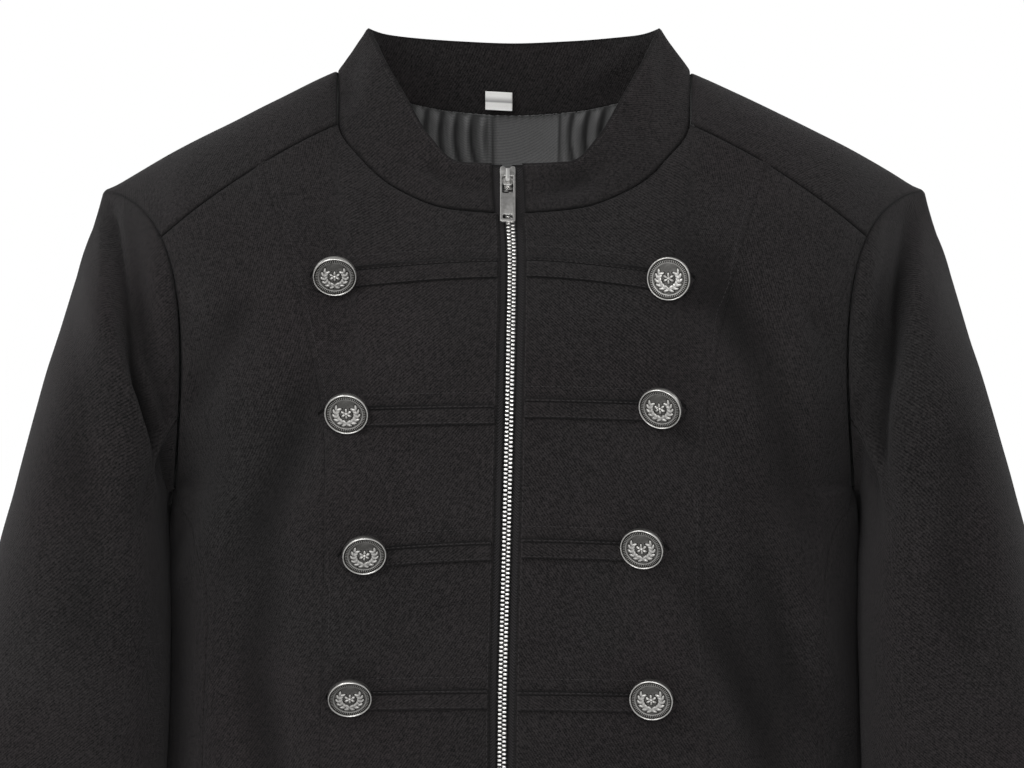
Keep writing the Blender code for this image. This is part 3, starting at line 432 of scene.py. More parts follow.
def solve(function, low, high):
    """Where rising functions cross zero, for arrays of limits."""
    low, high = (np.array(v, float) for v in arrays(low, high))
    for _ in range(34):
        middle = (low + high) / 2
        under = function(middle) < 0
        low, high = np.where(under, middle, low), np.where(under, high, middle)
    return (low + high) / 2


def shoulder_seam(angle):
    """Heights at which front profiles meet the forward shoulder seam."""
    angle = np.asarray(angle, float)
    (x0, z0), (x1, z1) = SHOULDER_SEAM

    def above(height):
        point = upper_point(angle, height, True)
        share = (point[..., 0] - x0) / (x1 - x0)
        rise = 4 * SHOULDER_SEAM_BOW * share * (1 - share)
        return point[..., 2] - (z0 + share * (z1 - z0) + rise)

    return np.where(angle <= SEAM_CORNER, 1.0, solve(above, np.full(angle.shape, 0.3), 1.0))


def zip_x(z):
    """x of the zip's line at heights."""
    table = MM * np.array(ZIP_LINE)
    return through(table[:, 0], table[:, 1:], z)[..., 0]


def angle_by_zip(side, from_zip, height):
    """Angles at which the front lies this far from the zip's line."""
    height = np.asarray(height, float)
    x = zip_x(body_point(side, 0, height)[..., 2]) + side * from_zip

    def beyond(angle):
        return side * (body_point(side, angle, height)[..., 0] - x)

    return solve(beyond, np.full(height.shape, -6.0), 40.0)


# ---------------------------------------------------------------- spacing and grids

PITCH = 3.9 * MM
SLEEVE_PITCH = 2.3 * MM  # round the sleeve, for its sharp creases
SEAM_STEPS = MM * np.array((0, 0.5, 1.1, 2.0, 3.4))
DENSE = 160


def spread(length, seams=(True, True), pitch=PITCH):
    """Shares of a length that are a pitch apart, and closer together at a seam."""
    steps = [SEAM_STEPS if seam else SEAM_STEPS[:1] for seam in seams]
    low, high = steps[0][-1], length - steps[1][-1]
    count = max(int(round((high - low) / pitch)), 2)
    middle = np.linspace(low, high, count + 1)
    return np.concatenate((steps[0][:-1], middle, (length - steps[1][:-1])[::-1])) / length


def lengths(points):
    """Running length along each row of points."""
    step = np.linalg.norm(np.diff(points, axis=-2), axis=-1)
    start = np.zeros(step.shape[:-1] + (1,))
    return np.concatenate((start, np.cumsum(step, axis=-1)), axis=-1)


def even_columns(surface, low, high, shares):
    """Parameters of each row, from low to high, at these shares of the row's own length."""
    dense = low[:, None] + (high - low)[:, None] * np.linspace(0, 1, DENSE)
    runs = lengths(surface(dense))
    return np.array([np.interp(shares * run[-1], run, row) for run, row in zip(runs, dense)])


def row_shares(curve, low, high, seams=(True, True), pitch=PITCH):
    """Parameters from low to high along one curve, a pitch apart."""
    dense = np.linspace(low, high, DENSE * 2)
    run = lengths(curve(dense))
    return np.interp(spread(run[-1], seams, pitch) * run[-1], run, dense)


class Patch:
    """A grid of points with their normals and their place in the cloth."""

    def __init__(self, points, normals, across=None, along=None, middle=0.5):
        self.points, self.normals = points, normals
        if across is None:
            run = lengths(points)
            across = run - run[:, :1]
        if along is None:
            column = points[:, int((points.shape[1] - 1) * middle)]
            along = np.broadcast_to(lengths(column)[:, None], across.shape)
        self.lay = np.stack((across, along, np.zeros(across.shape)), axis=-1)

    def sizes(self):
        """Width and length of the piece laid flat, at its widest and its longest."""
        width = lengths(self.points)[:, -1].max()
        length = lengths(self.points.transpose(1, 0, 2))[:, -1].max()
        return width, length


def body_patch(side, angle, height, across=None, along=None):
    return Patch(body_point(side, angle, height), body_normal(side, angle, height), across, along)


def body_heights(angle, top, seams):
    """Heights from the hem to the armpit and on to the top, a pitch apart on one profile."""
    low = row_shares(lambda h: body_point(1, angle, h), -1.0, 0.0, (seams[0], False))
    high = row_shares(lambda h: body_point(1, angle, h), 0.0, top, (False, seams[1]))
    return low, high / top


def front_patch(side, centre):
    """The centre front, from the zip to the princess seam, or the side front beyond it."""
    low, high = body_heights(15.0 if centre else 45.0, 0.9, (True, True))
    rows = np.concatenate((low, high[1:]))
    upper = rows > 0

    def height_at(angle):
        seam = shoulder_seam(angle)
        return np.where(upper[:, None], rows[:, None] * seam, rows[:, None])

    if centre:
        first = angle_by_zip(side, EDGE_FROM_ZIP, rows)
        last = np.full(rows.shape, PRINCESS)
    else:
        first = np.full(rows.shape, PRINCESS)
        last = np.where(upper, ARMHOLE_FRONT, side_seam(np.minimum(rows, 0)))
    shares = spread(90 * MM if centre else 120 * MM)
    angle = even_columns(lambda a: body_point(side, a, height_at(a)), first, last, shares)
    return body_patch(side, angle, height_at(angle))


def side_patch(side):
    rows = row_shares(lambda h: body_point(1, 90, h), -1.0, 0.0)
    first = side_seam(rows)
    shares = spread(110 * MM)
    angle = even_columns(
        lambda a: body_point(side, a, np.broadcast_to(rows[:, None], a.shape)),
        first, 180 - first, shares,
    )
    return body_patch(side, angle, np.broadcast_to(rows[:, None], angle.shape))


def back_patches():
    """The back below the ridge and its forward shoulder strip, for each side."""
    patches = []
    low, high = body_heights(130.0, 1.0, (True, False))
    rows = np.concatenate((low, high[1:]))
    neck = row_shares(lambda a: body_point(1, 180 - a, 1.0), 0.0, NECK_CORNER, (False, False))
    ridge = row_shares(
        lambda a: body_point(1, a, 1.0), NECK_CORNER, ARMHOLE_FRONT, (True, True)
    )
    shares = np.concatenate((neck, ridge[1:])) / ARMHOLE_FRONT
    reach = np.where(rows < 0, side_seam(np.minimum(rows, 0)), ARMHOLE_FRONT)
    angle = shares * reach[:, None]
    height = np.broadcast_to(rows[:, None], angle.shape)
    top = ridge
    seam_angle = np.where(
        top < PRINCESS,
        SEAM_CORNER + (top - NECK_CORNER) * (PRINCESS - SEAM_CORNER) / (PRINCESS - NECK_CORNER),
        top,
    )
    seam_height = shoulder_seam(seam_angle)
    seam_height = np.where(seam_angle <= SEAM_CORNER, 1.0, seam_height)
    up = spread(36 * MM, (True, False))
    strip_angle = seam_angle + (top - seam_angle) * up[:, None]
    strip_height = seam_height + (1 - seam_height) * up[:, None]
    for side, _ in SIDES:
        points = body_point(side, 180 - angle, height)
        normals = body_normal(side, 180 - angle, height)
        front_top = body_point(side, top, 1.0)
        shift = front_top - points[-1, len(neck) - 1:]
        fade = smoothstep((rows - 0.75) / 0.25)[:, None, None]
        points[:, len(neck) - 1:] += shift * fade
        strip = body_point(side, strip_angle, strip_height)
        strip_normals = body_normal(side, strip_angle, strip_height)
        both = unit(normals[-1, len(neck) - 1:] + strip_normals[-1])
        normals[-1, len(neck) - 1:] = both
        strip_normals[-1] = both
        across = side * lengths(points)
        middle = lengths(points[:, points.shape[1] // 2])
        along = np.broadcast_to(middle[:, None], across.shape)
        patches.append(Patch(points, normals, across, along))
        strip_across = np.broadcast_to(across[-1, len(neck) - 1:], strip.shape[:2])
        down = lengths(strip.transpose(1, 0, 2)).T
        strip_along = middle[-1] + down[-1] - down
        patches.append(Patch(strip, strip_normals, strip_across, strip_along))
    return patches


# ---------------------------------------------------------------- sleeve


def armhole_places():
    """(angle, height) round the armhole, from the shoulder tip down the front, along the armpit
    and up the back, with the shares of the loop at which the two sleeve seams start."""
    seam = float(shoulder_seam(np.array([ARMHOLE_FRONT]))[0])
    width = ARMHOLE_BACK - ARMHOLE_FRONT
    parts = (
        [(ARMHOLE_FRONT, 1 - t) for t in np.linspace(0, 1, 61)[:-1]],
        [(ARMHOLE_FRONT + width * t, 0.0) for t in np.linspace(0, 1, 17)[:-1]],
        [(ARMHOLE_BACK, t) for t in np.linspace(0, 1, 61)[:-1]],
    )
    places = np.array(sum(parts, []))
    fore = (ARMHOLE_FRONT, seam * (1 - (FORE_SEAM - STRIP_CORNERS) / FRONT_CORNERS))
    hind_height = (HIND_SEAM - STRIP_CORNERS - FRONT_CORNERS - 4) / 9
    return places, fore, (ARMHOLE_BACK, hind_height)


def sleeve_ring(side, share_down, share_round):
    """Points of the free sleeve's section."""
    share_down, share_round = arrays(share_down, share_round)
    knots = np.linspace(0, 1, len(SLEEVE))
    table = through(knots, SLEEVE, share_down)
    outer_x, outer_z, inner_x, inner_z, depth, y = np.moveaxis(table, -1, 0)
    turn = 2 * math.pi * share_round
    middle = np.stack(((outer_x + inner_x) / 2, y, (outer_z + inner_z) / 2), axis=-1)
    half = np.stack(((outer_x - inner_x) / 2, 0 * y, (outer_z - inner_z) / 2), axis=-1)
    out = power(np.cos(turn), 2 / SLEEVE_SQUARE)[..., None]
    fore = (power(np.sin(turn), 2 / SLEEVE_SQUARE) * -depth)[..., None] * (0, 1, 0)
    return (middle + half * out + fore) * (side, 1, 1)


class Armhole:
    """The armhole's edge as a closed curve, read at shares of its length: 0 at the shoulder
    tip, 0.5 under the arm."""

    def __init__(self, side):
        self.side = side
        places, fore, hind = armhole_places()
        points = body_point(side, places[:, 0], places[:, 1])
        run = lengths(np.vstack((points, points[:1])))
        bottom = 60 + 8
        share = np.where(
            np.arange(len(run)) <= bottom,
            0.5 * run / run[bottom],
            0.5 + 0.5 * (run - run[bottom]) / (run[-1] - run[bottom]),
        )
        self.shares, self.points = share, np.vstack((points, points[:1]))
        self.fore = self.share_of(body_point(side, *fore))
        self.hind = self.share_of(body_point(side, *hind))

    def share_of(self, point):
        return self.shares[np.argmin(np.linalg.norm(self.points - point, axis=-1))]

    def at(self, share):
        share = np.mod(share, 1.0)
        return np.stack([np.interp(share, self.shares, self.points[:, i]) for i in range(3)], -1)


def sleeve_patch(side, first, last):
    """Part of the sleeve between two shares round it, from the armhole down to the cuff."""
    armhole = Armhole(side)
    down = row_shares(lambda d: sleeve_ring(side, d, 0.0), 0.0, 1.0)
    shares = spread((last - first) * 400 * MM, pitch=SLEEVE_PITCH)
    round_it = first + (last - first) * shares

    def point(d, r):
        d, r = arrays(d, r)
        fade = (1 - smoothstep(d / SLEEVE_BLEND))[..., None]
        return sleeve_ring(side, d, r) + fade * (armhole.at(r) - sleeve_ring(side, 0.0, r))

    down, round_it = arrays(down[:, None], round_it[None, :])
    points = point(down, round_it)
    across = point(down, round_it + 0.004) - point(down, round_it - 0.004)
    along = point(np.minimum(down + 0.006, 1), round_it) - point(np.maximum(down - 0.006, 0), round_it)
    normals = unit(np.cross(across, along))
    core = (sleeve_ring(side, down, 0.0) + sleeve_ring(side, down, 0.5)) / 2
    outward = points - core
    sign = np.sign((normals * outward).sum(axis=-1, keepdims=True))
    return Patch(points, normals * np.where(sign == 0, 1, sign))


# ---------------------------------------------------------------- collar


def collar_point(side, front, low, high, lift):
    """Points of the collar's outer face, lift 0 at the neck seam and 1 at the rim, with the
    profile angle of the column at each end."""
    side, low, high, lift = arrays(side, low, high, lift)
    angle = low + (high - low) * lift
    rim = FRONT_RIM if front else BACK_RIM
    profiles = FRONT_PROFILES if front else BACK_PROFILES
    neck = [p[0] for p in profiles if not isinstance(p[3], tuple)]
    points = [MM * np.array(r[1]) for r in rim]
    points = [points[1] * (-1, 1, 1)] + points
    top = through([-neck[1]] + neck, points, np.abs(angle))
    foot = upper_point(np.abs(angle), 1.0, front)
    sign = np.where(angle >= 0, side, -side)
    out = foot + (top - foot) * lift[..., None]
    out[..., 0] *= sign
    return out


def collar_edge(side, from_zip):
    """Profile angles, at the foot and at the rim, of the column this far from the zip."""
    def lean(lift):
        def x_of(a):
            return collar_point(side, True, a, a, lift)[..., 0]
        x = zip_x(collar_point(side, True, 0.0, 0.0, lift)[..., 2]) + side * from_zip
        return float(solve(lambda a: side * (x_of(a) - x), np.array(-4.0), 15.0))

    return lean(0.0), lean(1.0)


def collar_patch(from_zip, lifts, edge_seam=True):
    """The collar from its left front edge round the back to its right front edge."""
    columns = []
    for side in (-1, 1):
        low, high = collar_edge(side, from_zip)
        t = spread(200 * MM, (edge_seam, False), 4.0 * MM)
        front_low, front_high = low + (NECK_CORNER - low) * t, high + (NECK_CORNER - high) * t
        front = [(side, True, a, b) for a, b in zip(front_low, front_high)]
        angles = row_shares(
            lambda a: collar_point(1, False, a, a, 0.5), 0.0, NECK_CORNER, (False, False), 4.0 * MM
        )
        back = [(side, False, a, a) for a in angles[:-1][::-1]]
        columns.append(front + back)
    columns = columns[0] + columns[1][:-1][::-1]
    points = np.stack([
        collar_point(side, front, low, high, lifts) for side, front, low, high in columns
    ], axis=1)
    along = np.gradient(points, axis=1)
    up = points[-1:] - points[:1]
    normals = unit(np.cross(along, up))
    middle = np.array((0, NECK_SIDE_Y, 0))
    sign = np.sign(((points - middle) * (1, 1, 0) * normals).sum(axis=-1, keepdims=True))
    return points, normals * sign


# ---------------------------------------------------------------- folds


def fold(at, width, depth, line):
    """Height of one fold at places (x, z): a soft trough with a low ridge on each side."""
    line = MM * np.array(line)
    path = through(np.arange(len(line)), line, np.linspace(0, len(line) - 1, FOLD_SAMPLES))
    start, step = path[:-1], np.diff(path, axis=0)
    width, depth = width * MM, depth * MM
    out = np.zeros(len(at))
    low, high = path.min(axis=0) - 4 * width, path.max(axis=0) + 4 * width
    near = np.nonzero(((at > low) & (at < high)).all(axis=1))[0]
    if not len(near):
        return out
    offset = at[near, None] - start
    t = np.clip((offset * step).sum(-1) / (step**2).sum(-1), 0, 1)
    gap = offset - t[..., None] * step
    distance = np.linalg.norm(gap, axis=-1)
    nearest = distance.argmin(axis=1)
    rows = np.arange(len(near))
    share = (nearest + t[rows, nearest]) / len(step)
    q = distance[rows, nearest] / width
    swell = np.sin(math.pi * np.clip(share, 0.02, 0.98)) ** 0.7
    swell *= 1 + 0.22 * np.sin(11 * share + 40 * line[0, 0] / 0.1)
    trough = np.exp(-q**2)
    ridge = RIDGE_SHARE * np.exp(-((q - 1.9) / 0.85) ** 2)
    out[near] = depth * swell * (ridge - trough)
    return out


def fold_field(points, normals, front_folds, back_folds, side_folds=()):
    """Height of all the folds: each table counts where the cloth faces its way."""
    facing = normals[:, 1]
    sideways = smoothstep((np.abs(normals[:, 0]) - 0.55) / 0.35)
    front, back = smoothstep(-facing / 0.45), smoothstep(facing / 0.45)
    total = np.zeros(len(points))
    for table, weight, axes in (
        (front_folds, front, (0, 2)), (back_folds, back, (0, 2)), (side_folds, sideways, (1, 2)),
    ):
        at = points[:, axes]
        for width, depth, line in table:
            total += weight * fold(at, width, depth, line)
    return total


def ripple(points, size, amount):
    """Low uneven waves, so that no face is quite smooth."""
    return amount * np.array([noise.noise(Vector(p / size)) for p in points])


# ---------------------------------------------------------------- meshes


def weld(patches):
    """One mesh of several patches: points, normals, lay and quads."""
    index, points, normals, lay, quads = {}, [], [], [], []
    for patch in patches:
        rows, columns = patch.points.shape[:2]
        ids = np.empty((rows, columns), int)
        flat = patch.points.reshape(-1, 3)
        keys = np.round(flat / (0.01 * MM)).astype(int)
        for n, key in enumerate(map(tuple, keys)):
            if key not in index:
                index[key] = len(points)
                points.append(flat[n])
                normals.append(patch.normals.reshape(-1, 3)[n])
                lay.append(patch.lay.reshape(-1, 3)[n])
            ids.flat[n] = index[key]
        cells = np.stack((ids[:-1, :-1], ids[:-1, 1:], ids[1:, 1:], ids[1:, :-1]), axis=-1)
        corners = patch.points
        facing = np.cross(
            corners[1:, 1:] - corners[:-1, :-1], corners[1:, :-1] - corners[:-1, 1:]
        )
        agree = (facing * patch.normals[:-1, :-1]).sum() > 0
        cells = cells.reshape(-1, 4)
        quads.append(cells if agree else cells[:, ::-1])
    faces = []
    for cell in np.vstack(quads):
        face = list(dict.fromkeys(cell.tolist()))
        if len(face) > 2:
            faces.append(face)
    return np.array(points), np.array(normals), np.array(lay), faces


SEAM_SHADE = 0.85  # how dark the groove at a deep seam is
PRESSED = 0.28  # depth of the seams that were pressed flat, as a share of the others'
SLEEVE_PRESSED = 0.1
TROUGH_SHADE = 0.62 / (6 * MM)  # how much darker a fold is for its depth


def border_of(faces):
    edges = {(a, b) for face in faces for a, b in zip(face, face[1:] + face[:1])}
    return [(a, b) for a, b in edges if (b, a) not in edges]


def smoothed(points, normals, faces, fixed, rounds=24):
    """The points with bends between the profile curves evened out, and their new normals. Only
    the height over the surface changes, and each second step gives back what the first took."""
    pairs = {(min(a, b), max(a, b)) for f in faces for a, b in zip(f, f[1:] + f[:1])}
    i, j = np.array(sorted(pairs)).T
    weight = 1 / np.maximum(np.linalg.norm(points[i] - points[j], axis=1), 1e-5)
    count = len(points)
    total = np.bincount(i, weight, count) + np.bincount(j, weight, count)
    free = np.ones(count, bool)
    free[fixed] = False
    for _ in range(rounds):
        for share in (0.62, -0.64):
            mean = np.stack([
                np.bincount(i, weight * points[j, k], count)
                + np.bincount(j, weight * points[i, k], count) for k in range(3)
            ], axis=1) / total[:, None]
            step = ((mean - points) * normals).sum(axis=1) * share * free
            points = points + normals * step[:, None]
    return points, np.where(free[:, None], face_normals(points, faces, normals), normals)


def face_normals(points, faces, like):
    """Normals of the points from the faces round them, on the same side as the given ones."""
    total = np.zeros_like(points)
    for face in faces:
        corners = points[face]
        total[face] += np.cross(corners[1] - corners[0], corners[2] - corners[0])
        if len(face) > 3:
            total[face] += np.cross(corners[2] - corners[0], corners[3] - corners[0])
    size = np.linalg.norm(total, axis=1, keepdims=True)
    found = np.where(size > 0, total / np.maximum(size, 1e-12), like)
    return found * np.where((found * like).sum(axis=1, keepdims=True) < 0, -1, 1)


def border_distance(points, border):
    """Distance of each point from the piece's own edge."""
    samples = []
    for a, b in border:
        start, end = points[a], points[b]
        count = max(int(np.linalg.norm(end - start) / (0.7 * MM)), 1)
        samples += [start + (end - start) * k / count for k in range(count)]
    tree = KDTree(len(samples))
    for n, sample in enumerate(samples):
        tree.insert(sample, n)
    tree.balance()
    return np.array([tree.find(p)[2] for p in points])


def add_object(name, points, faces, materials, smooth=True):
    mesh = bpy.data.meshes.new(name)
    mesh.from_pydata(points, [], faces)
    for material in materials:
        mesh.materials.append(material)
    if smooth:
        mesh.shade_smooth()
    obj = bpy.data.objects.new(name, mesh)
    bpy.context.scene.collection.objects.link(obj)
    return obj


def set_attribute(obj, name, kind, values):
    field = "value" if kind == "FLOAT" else "vector"
    attribute = obj.data.attributes.new(name, kind, "POINT")
    attribute.data.foreach_set(field, np.asarray(values, np.float32).ravel())


def shell(name, patches, materials, thick, move=None, lift=0.0, sink=1.0 * MM,
          seam_gap=0.3 * MM, smooth=False, seam_depth=None, shade=None):
    """Closed thin piece over its patches. move gives how far each point leaves the surface from
    (points, normals, distance to the edge). The second material is the inner face's."""
    points, normals, lay, faces = weld(patches)
    border = border_of(faces)
    if smooth:
        points, normals = smoothed(points, normals, faces, np.unique(np.array(border)))
    distance = border_distance(points, border)
    away = np.zeros_like(points)
    for a, b in border:
        out = unit(np.cross(points[b] - points[a], normals[a] + normals[b]))
        away[a] += out
        away[b] += out
    deep = np.ones(len(points)) if seam_depth is None else seam_depth(points, lay, distance)
    rim = np.unique(np.array(border))
    length = np.linalg.norm(away[rim], axis=1, keepdims=True)
    drawn = points.copy()
    drawn[rim] -= away[rim] / np.maximum(length, 0.5) * seam_gap / 2 * deep[rim, None]
    height = np.full(len(points), lift)
    if move is not None:
        height = height + move(points, normals, distance)
    turned = np.clip(1 - distance / (2.4 * MM), 0, 1) ** 2 * deep
    outer = drawn + normals * (height - sink * turned)[:, None]
    inner = drawn + normals * (height - thick + 0.25 * sink * turned)[:, None]
    count = len(points)
    all_faces = list(faces)
    all_faces += [[v + count for v in reversed(face)] for face in faces]
    all_faces += [[b, a, a + count, b + count] for a, b in border]
    obj = add_object(name, np.vstack((outer, inner)), all_faces, materials)
    if len(materials) > 1:
        inside = np.zeros(len(all_faces), np.int32)
        inside[len(faces):2 * len(faces)] = 1
        obj.data.polygons.foreach_set("material_index", inside)
    set_attribute(obj, "lay", "FLOAT_VECTOR", np.vstack((lay, lay)) / MM)
    edge = np.clip(distance / (12 * MM), 0, 1)
    set_attribute(obj, "edge", "FLOAT", np.concatenate((edge, edge)))
    if shade is None:
        shade = SEAM_SHADE * deep * np.exp(-((distance / (1.2 * MM)) ** 2))
        shade = np.clip(shade + TROUGH_SHADE * np.clip(lift - height - 0.8 * MM, 0, 1), 0, 1)
    set_attribute(obj, "shade", "FLOAT", np.concatenate((shade, shade)))
    area = sum(
        np.linalg.norm(np.cross(points[f[1]] - points[f[0]], points[f[2]] - points[f[0]])) / 2
        + (np.linalg.norm(np.cross(points[f[2]] - points[f[0]], points[f[-1]] - points[f[0]])) / 2
           if len(f) > 3 else 0)
        for f in faces
    )
    return obj, area


def sleeve_seam(points, lay, distance):
    """Deep where the sleeve joins the body, and faint along its own two seams."""
    return np.where(lay[:, 1] < 9 * MM, 1.0, SLEEVE_PRESSED)


def body_seam(points, lay, distance):
    """The princess seams and the side seams were pressed flat, and the others are deep."""
    heights = np.concatenate((np.linspace(-1, 0, 900), np.linspace(0, 1, 500)))
    tree = KDTree(len(SIDES) * 3 * len(heights))
    count = 0
    for side, _ in SIDES:
        seam = side_seam(np.minimum(heights, 0))
        for angle in (np.full(len(heights), PRINCESS), seam, 180 - seam):
            for place in body_point(side, angle, np.where(angle == PRINCESS, heights,
                                                          np.minimum(heights, 0))):
                tree.insert(place, count)
                count += 1
    tree.balance()
    found = np.array([tree.find(p)[2] for p in points])
    return PRESSED + (1 - PRESSED) * smoothstep((found - distance - 0.5 * MM) / (5 * MM))


def body_move(points, normals, distance):
    field = fold_field(points, normals, FRONT_FOLDS, BACK_FOLDS, SIDE_FOLDS)
    by_armhole = smoothstep((points[:, 2] - ARMPIT_Z + 12 * MM) / (9 * MM))
    by_armhole = by_armhole * smoothstep((np.abs(points[:, 0]) - 140 * MM) / (15 * MM))
    fade = 1 - by_armhole * (1 - smoothstep(distance / (12 * MM)))
    under_arm = 2.0 * MM * smoothstep((np.abs(points[:, 0]) - 180 * MM) / (12 * MM))
    under_arm = under_arm * np.exp(-(((points[:, 2] - ARMPIT_Z + 34 * MM) / (30 * MM)) ** 2))
    waves = ripple(points, 70 * MM, 0.9 * MM) + ripple(points, 28 * MM, 0.25 * MM)
    return (field + waves + under_arm) * fade


def sleeve_move(points, normals, distance):
    field = fold_field(points, normals, SLEEVE_FRONT_FOLDS, SLEEVE_BACK_FOLDS)
    top = points[:, 2] > -250 * MM
    fade = np.where(top, smoothstep(distance / (9 * MM)), 1.0)
    return (field + ripple(points, 64 * MM, 0.9 * MM) + ripple(points, 26 * MM, 0.3 * MM)) * fade


def cloth_piece(obj, sizes, area):
    """Rides on the jacket."""
    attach(obj, "jacket")
    width, length = sizes
    area = min(area, width * length)
    return obj


# ---------------------------------------------------------------- shaders


class Value:
    """A socket of a material. Arithmetic on it adds Math nodes."""

    def __init__(self, shade, socket):
        self.shade, self.socket = shade, socket

    def maths(self, operation, *values):
        return self.shade.node("ShaderNodeMath", {"operation": operation}, dict(enumerate(values)))

    def __add__(self, other):
        return self.maths("ADD", self, other)

    def __radd__(self, other):
        return self.maths("ADD", other, self)

    def __sub__(self, other):
        return self.maths("SUBTRACT", self, other)

    def __rsub__(self, other):
        return self.maths("SUBTRACT", other, self)

    def __mul__(self, other):
        return self.maths("MULTIPLY", self, other)

    def __rmul__(self, other):
        return self.maths("MULTIPLY", other, self)

    def __truediv__(self, other):
        return self.maths("DIVIDE", self, other)

    def __pow__(self, other):
        return self.maths("POWER", self, other)

    def sin(self):
        return self.maths("SINE", self)

    def clamped(self):
        return self.shade.node("ShaderNodeClamp", {}, {0: self})


class Shade:
    """A material being made: node() adds any node, and the rest are shorthands for it."""

    def __init__(self, name):
        self.material = bpy.data.materials.new(name)
        self.material.use_nodes = True
        self.tree = self.material.node_tree
        self.tree.nodes.clear()

    def node(self, kind, settings, sockets, output=0):
        made = self.tree.nodes.new(kind)
        stops = settings.pop("stops", None)
        for key, value in settings.items():
            setattr(made, key, value)
        if stops:
            ramp = made.color_ramp
            while len(ramp.elements) < len(stops):
                ramp.elements.new(1.0)
            for element, (place, colour) in zip(ramp.elements, stops):
                element.position = place
                element.color = (*colour, 1)
        for key, value in sockets.items():
            socket = made.inputs[key]
            if isinstance(value, Value):
                self.tree.links.new(value.socket, socket)
            else:
                socket.default_value = value
        return Value(self, made.outputs[output])

    def place(self):
        return self.node("ShaderNodeTexCoord", {}, {}, "Object")

    def attribute(self, name, output="Vector"):
        return self.node("ShaderNodeAttribute", {"attribute_name": name}, {}, output)

    def split(self, vector):
        return [self.node("ShaderNodeSeparateXYZ", {}, {0: vector}, axis) for axis in "XYZ"]

    def joined(self, x, y, z):
        return self.node("ShaderNodeCombineXYZ", {}, {0: x, 1: y, 2: z})

    def noise(self, vector, scale, detail=2.0, roughness=0.5):
        return self.node("ShaderNodeTexNoise", {}, {
            "Vector": vector, "Scale": scale, "Detail": detail, "Roughness": roughness,
        }, "Fac")

    def mix(self, share, first, second):
        return self.node("ShaderNodeMix", {"data_type": "RGBA"}, {
            0: share, 6: first if isinstance(first, Value) else (*first, 1),
            7: second if isinstance(second, Value) else (*second, 1),
        }, 2)

    def bump(self, height, distance, strength=1.0, normal=None):
        sockets = {"Height": height, "Distance": distance, "Strength": strength}
        if normal is not None:
            sockets["Normal"] = normal
        return self.node("ShaderNodeBump", {}, sockets)

    def finish(self, **sockets):
        """Principled shader with these sockets, named with _ for each space."""
        shader = self.node(
            "ShaderNodeBsdfPrincipled", {}, {k.replace("_", " "): v for k, v in sockets.items()}
        )
        self.node_output(shader)
        return self.material

    def node_output(self, shader):
        made = self.tree.nodes.new("ShaderNodeOutputMaterial")
        self.tree.links.new(shader.socket, made.inputs["Surface"])


MATERIALS = {}


def charcoal_twill(settings):
    """Near-black twill: fine slanting ribs, a dull fibre haze and slightly worn edges."""
    shade = Shade("charcoal_twill")
    across, along, _ = shade.split(shade.attribute("lay"))
    place = shade.place()
    wander = shade.noise(place, 700.0, 2.0)
    turn = math.tau / (settings.twill_pitch / MM)
    rib = (across * turn + along * (turn * 0.7) + wander * 3.0).sin() * 0.5 + 0.5
    cross = (along * (turn * 1.6) - across * (turn * 0.4) + wander * 2.0).sin() * 0.5 + 0.5
    fibre = shade.noise(place, 640.0, 4.0, 0.85)
    speckle = ((fibre - 0.4) * 5.0).clamped()
    cloud = shade.noise(place, 14.0, 3.0, 0.55)
    weave = rib * 0.4 + cross * 0.12 + speckle * 0.75
    edge = shade.attribute("edge", "Fac")
    worn = ((1 - edge) ** 8.0) * speckle
    tone = (weave * 1.0 + (cloud - 0.5) * 0.4 + worn * 0.2 - 0.14).clamped()
    hue = shade.mix(shade.noise(place, 9.0, 2.0), tuple(settings.cloth_colour),
                    tuple(settings.warm_colour))
    colour = shade.mix(tone, tuple(settings.shadow_colour), hue)
    colour = shade.mix(shade.attribute("shade", "Fac"), colour, (0.0012, 0.0011, 0.0011))
    return shade.finish(
        Base_Color=colour,
        Roughness=0.8 + speckle * 0.12,
        Normal=shade.bump(weave, 0.00022, 1.0),
        Specular_IOR_Level=0.14,
        Sheen_Weight=settings.sheen,
        Sheen_Roughness=0.5,
        Sheen_Tint=(0.95, 0.92, 0.94, 1.0),
    )


def dark_satin(settings):
    """Grey satin lining with fine cross threads and soft gloss."""
    shade = Shade("dark_satin")
    across, along, _ = shade.split(shade.attribute("lay"))
    place = shade.place()
    haze = shade.noise(place, 40.0, 3.0, 0.5)
    fibre = shade.noise(place, 1800.0, 2.0, 0.6)
    arcs = along - (across - 98) ** 2.0 / 95.0
    threads = (arcs * (math.tau / 1.9) + haze * 3.0).sin() * 0.5 + 0.5
    tone = (threads * 0.45 + haze * 0.4 + (fibre - 0.4) * 1.6).clamped()
    colour = shade.mix(tone, tuple(c * 0.4 for c in settings.lining_colour),
                       tuple(settings.lining_colour))
    colour = shade.mix(shade.attribute("shade", "Fac"), colour, (0.008, 0.0078, 0.008))
    return shade.finish(
        Base_Color=colour,
        Roughness=0.3 + haze * 0.16,
        Normal=shade.bump(threads * 0.6 + fibre * 0.5, 0.00008, 0.6),
        Specular_IOR_Level=0.75,
        Sheen_Weight=0.2,
        Anisotropic=0.35,
    )


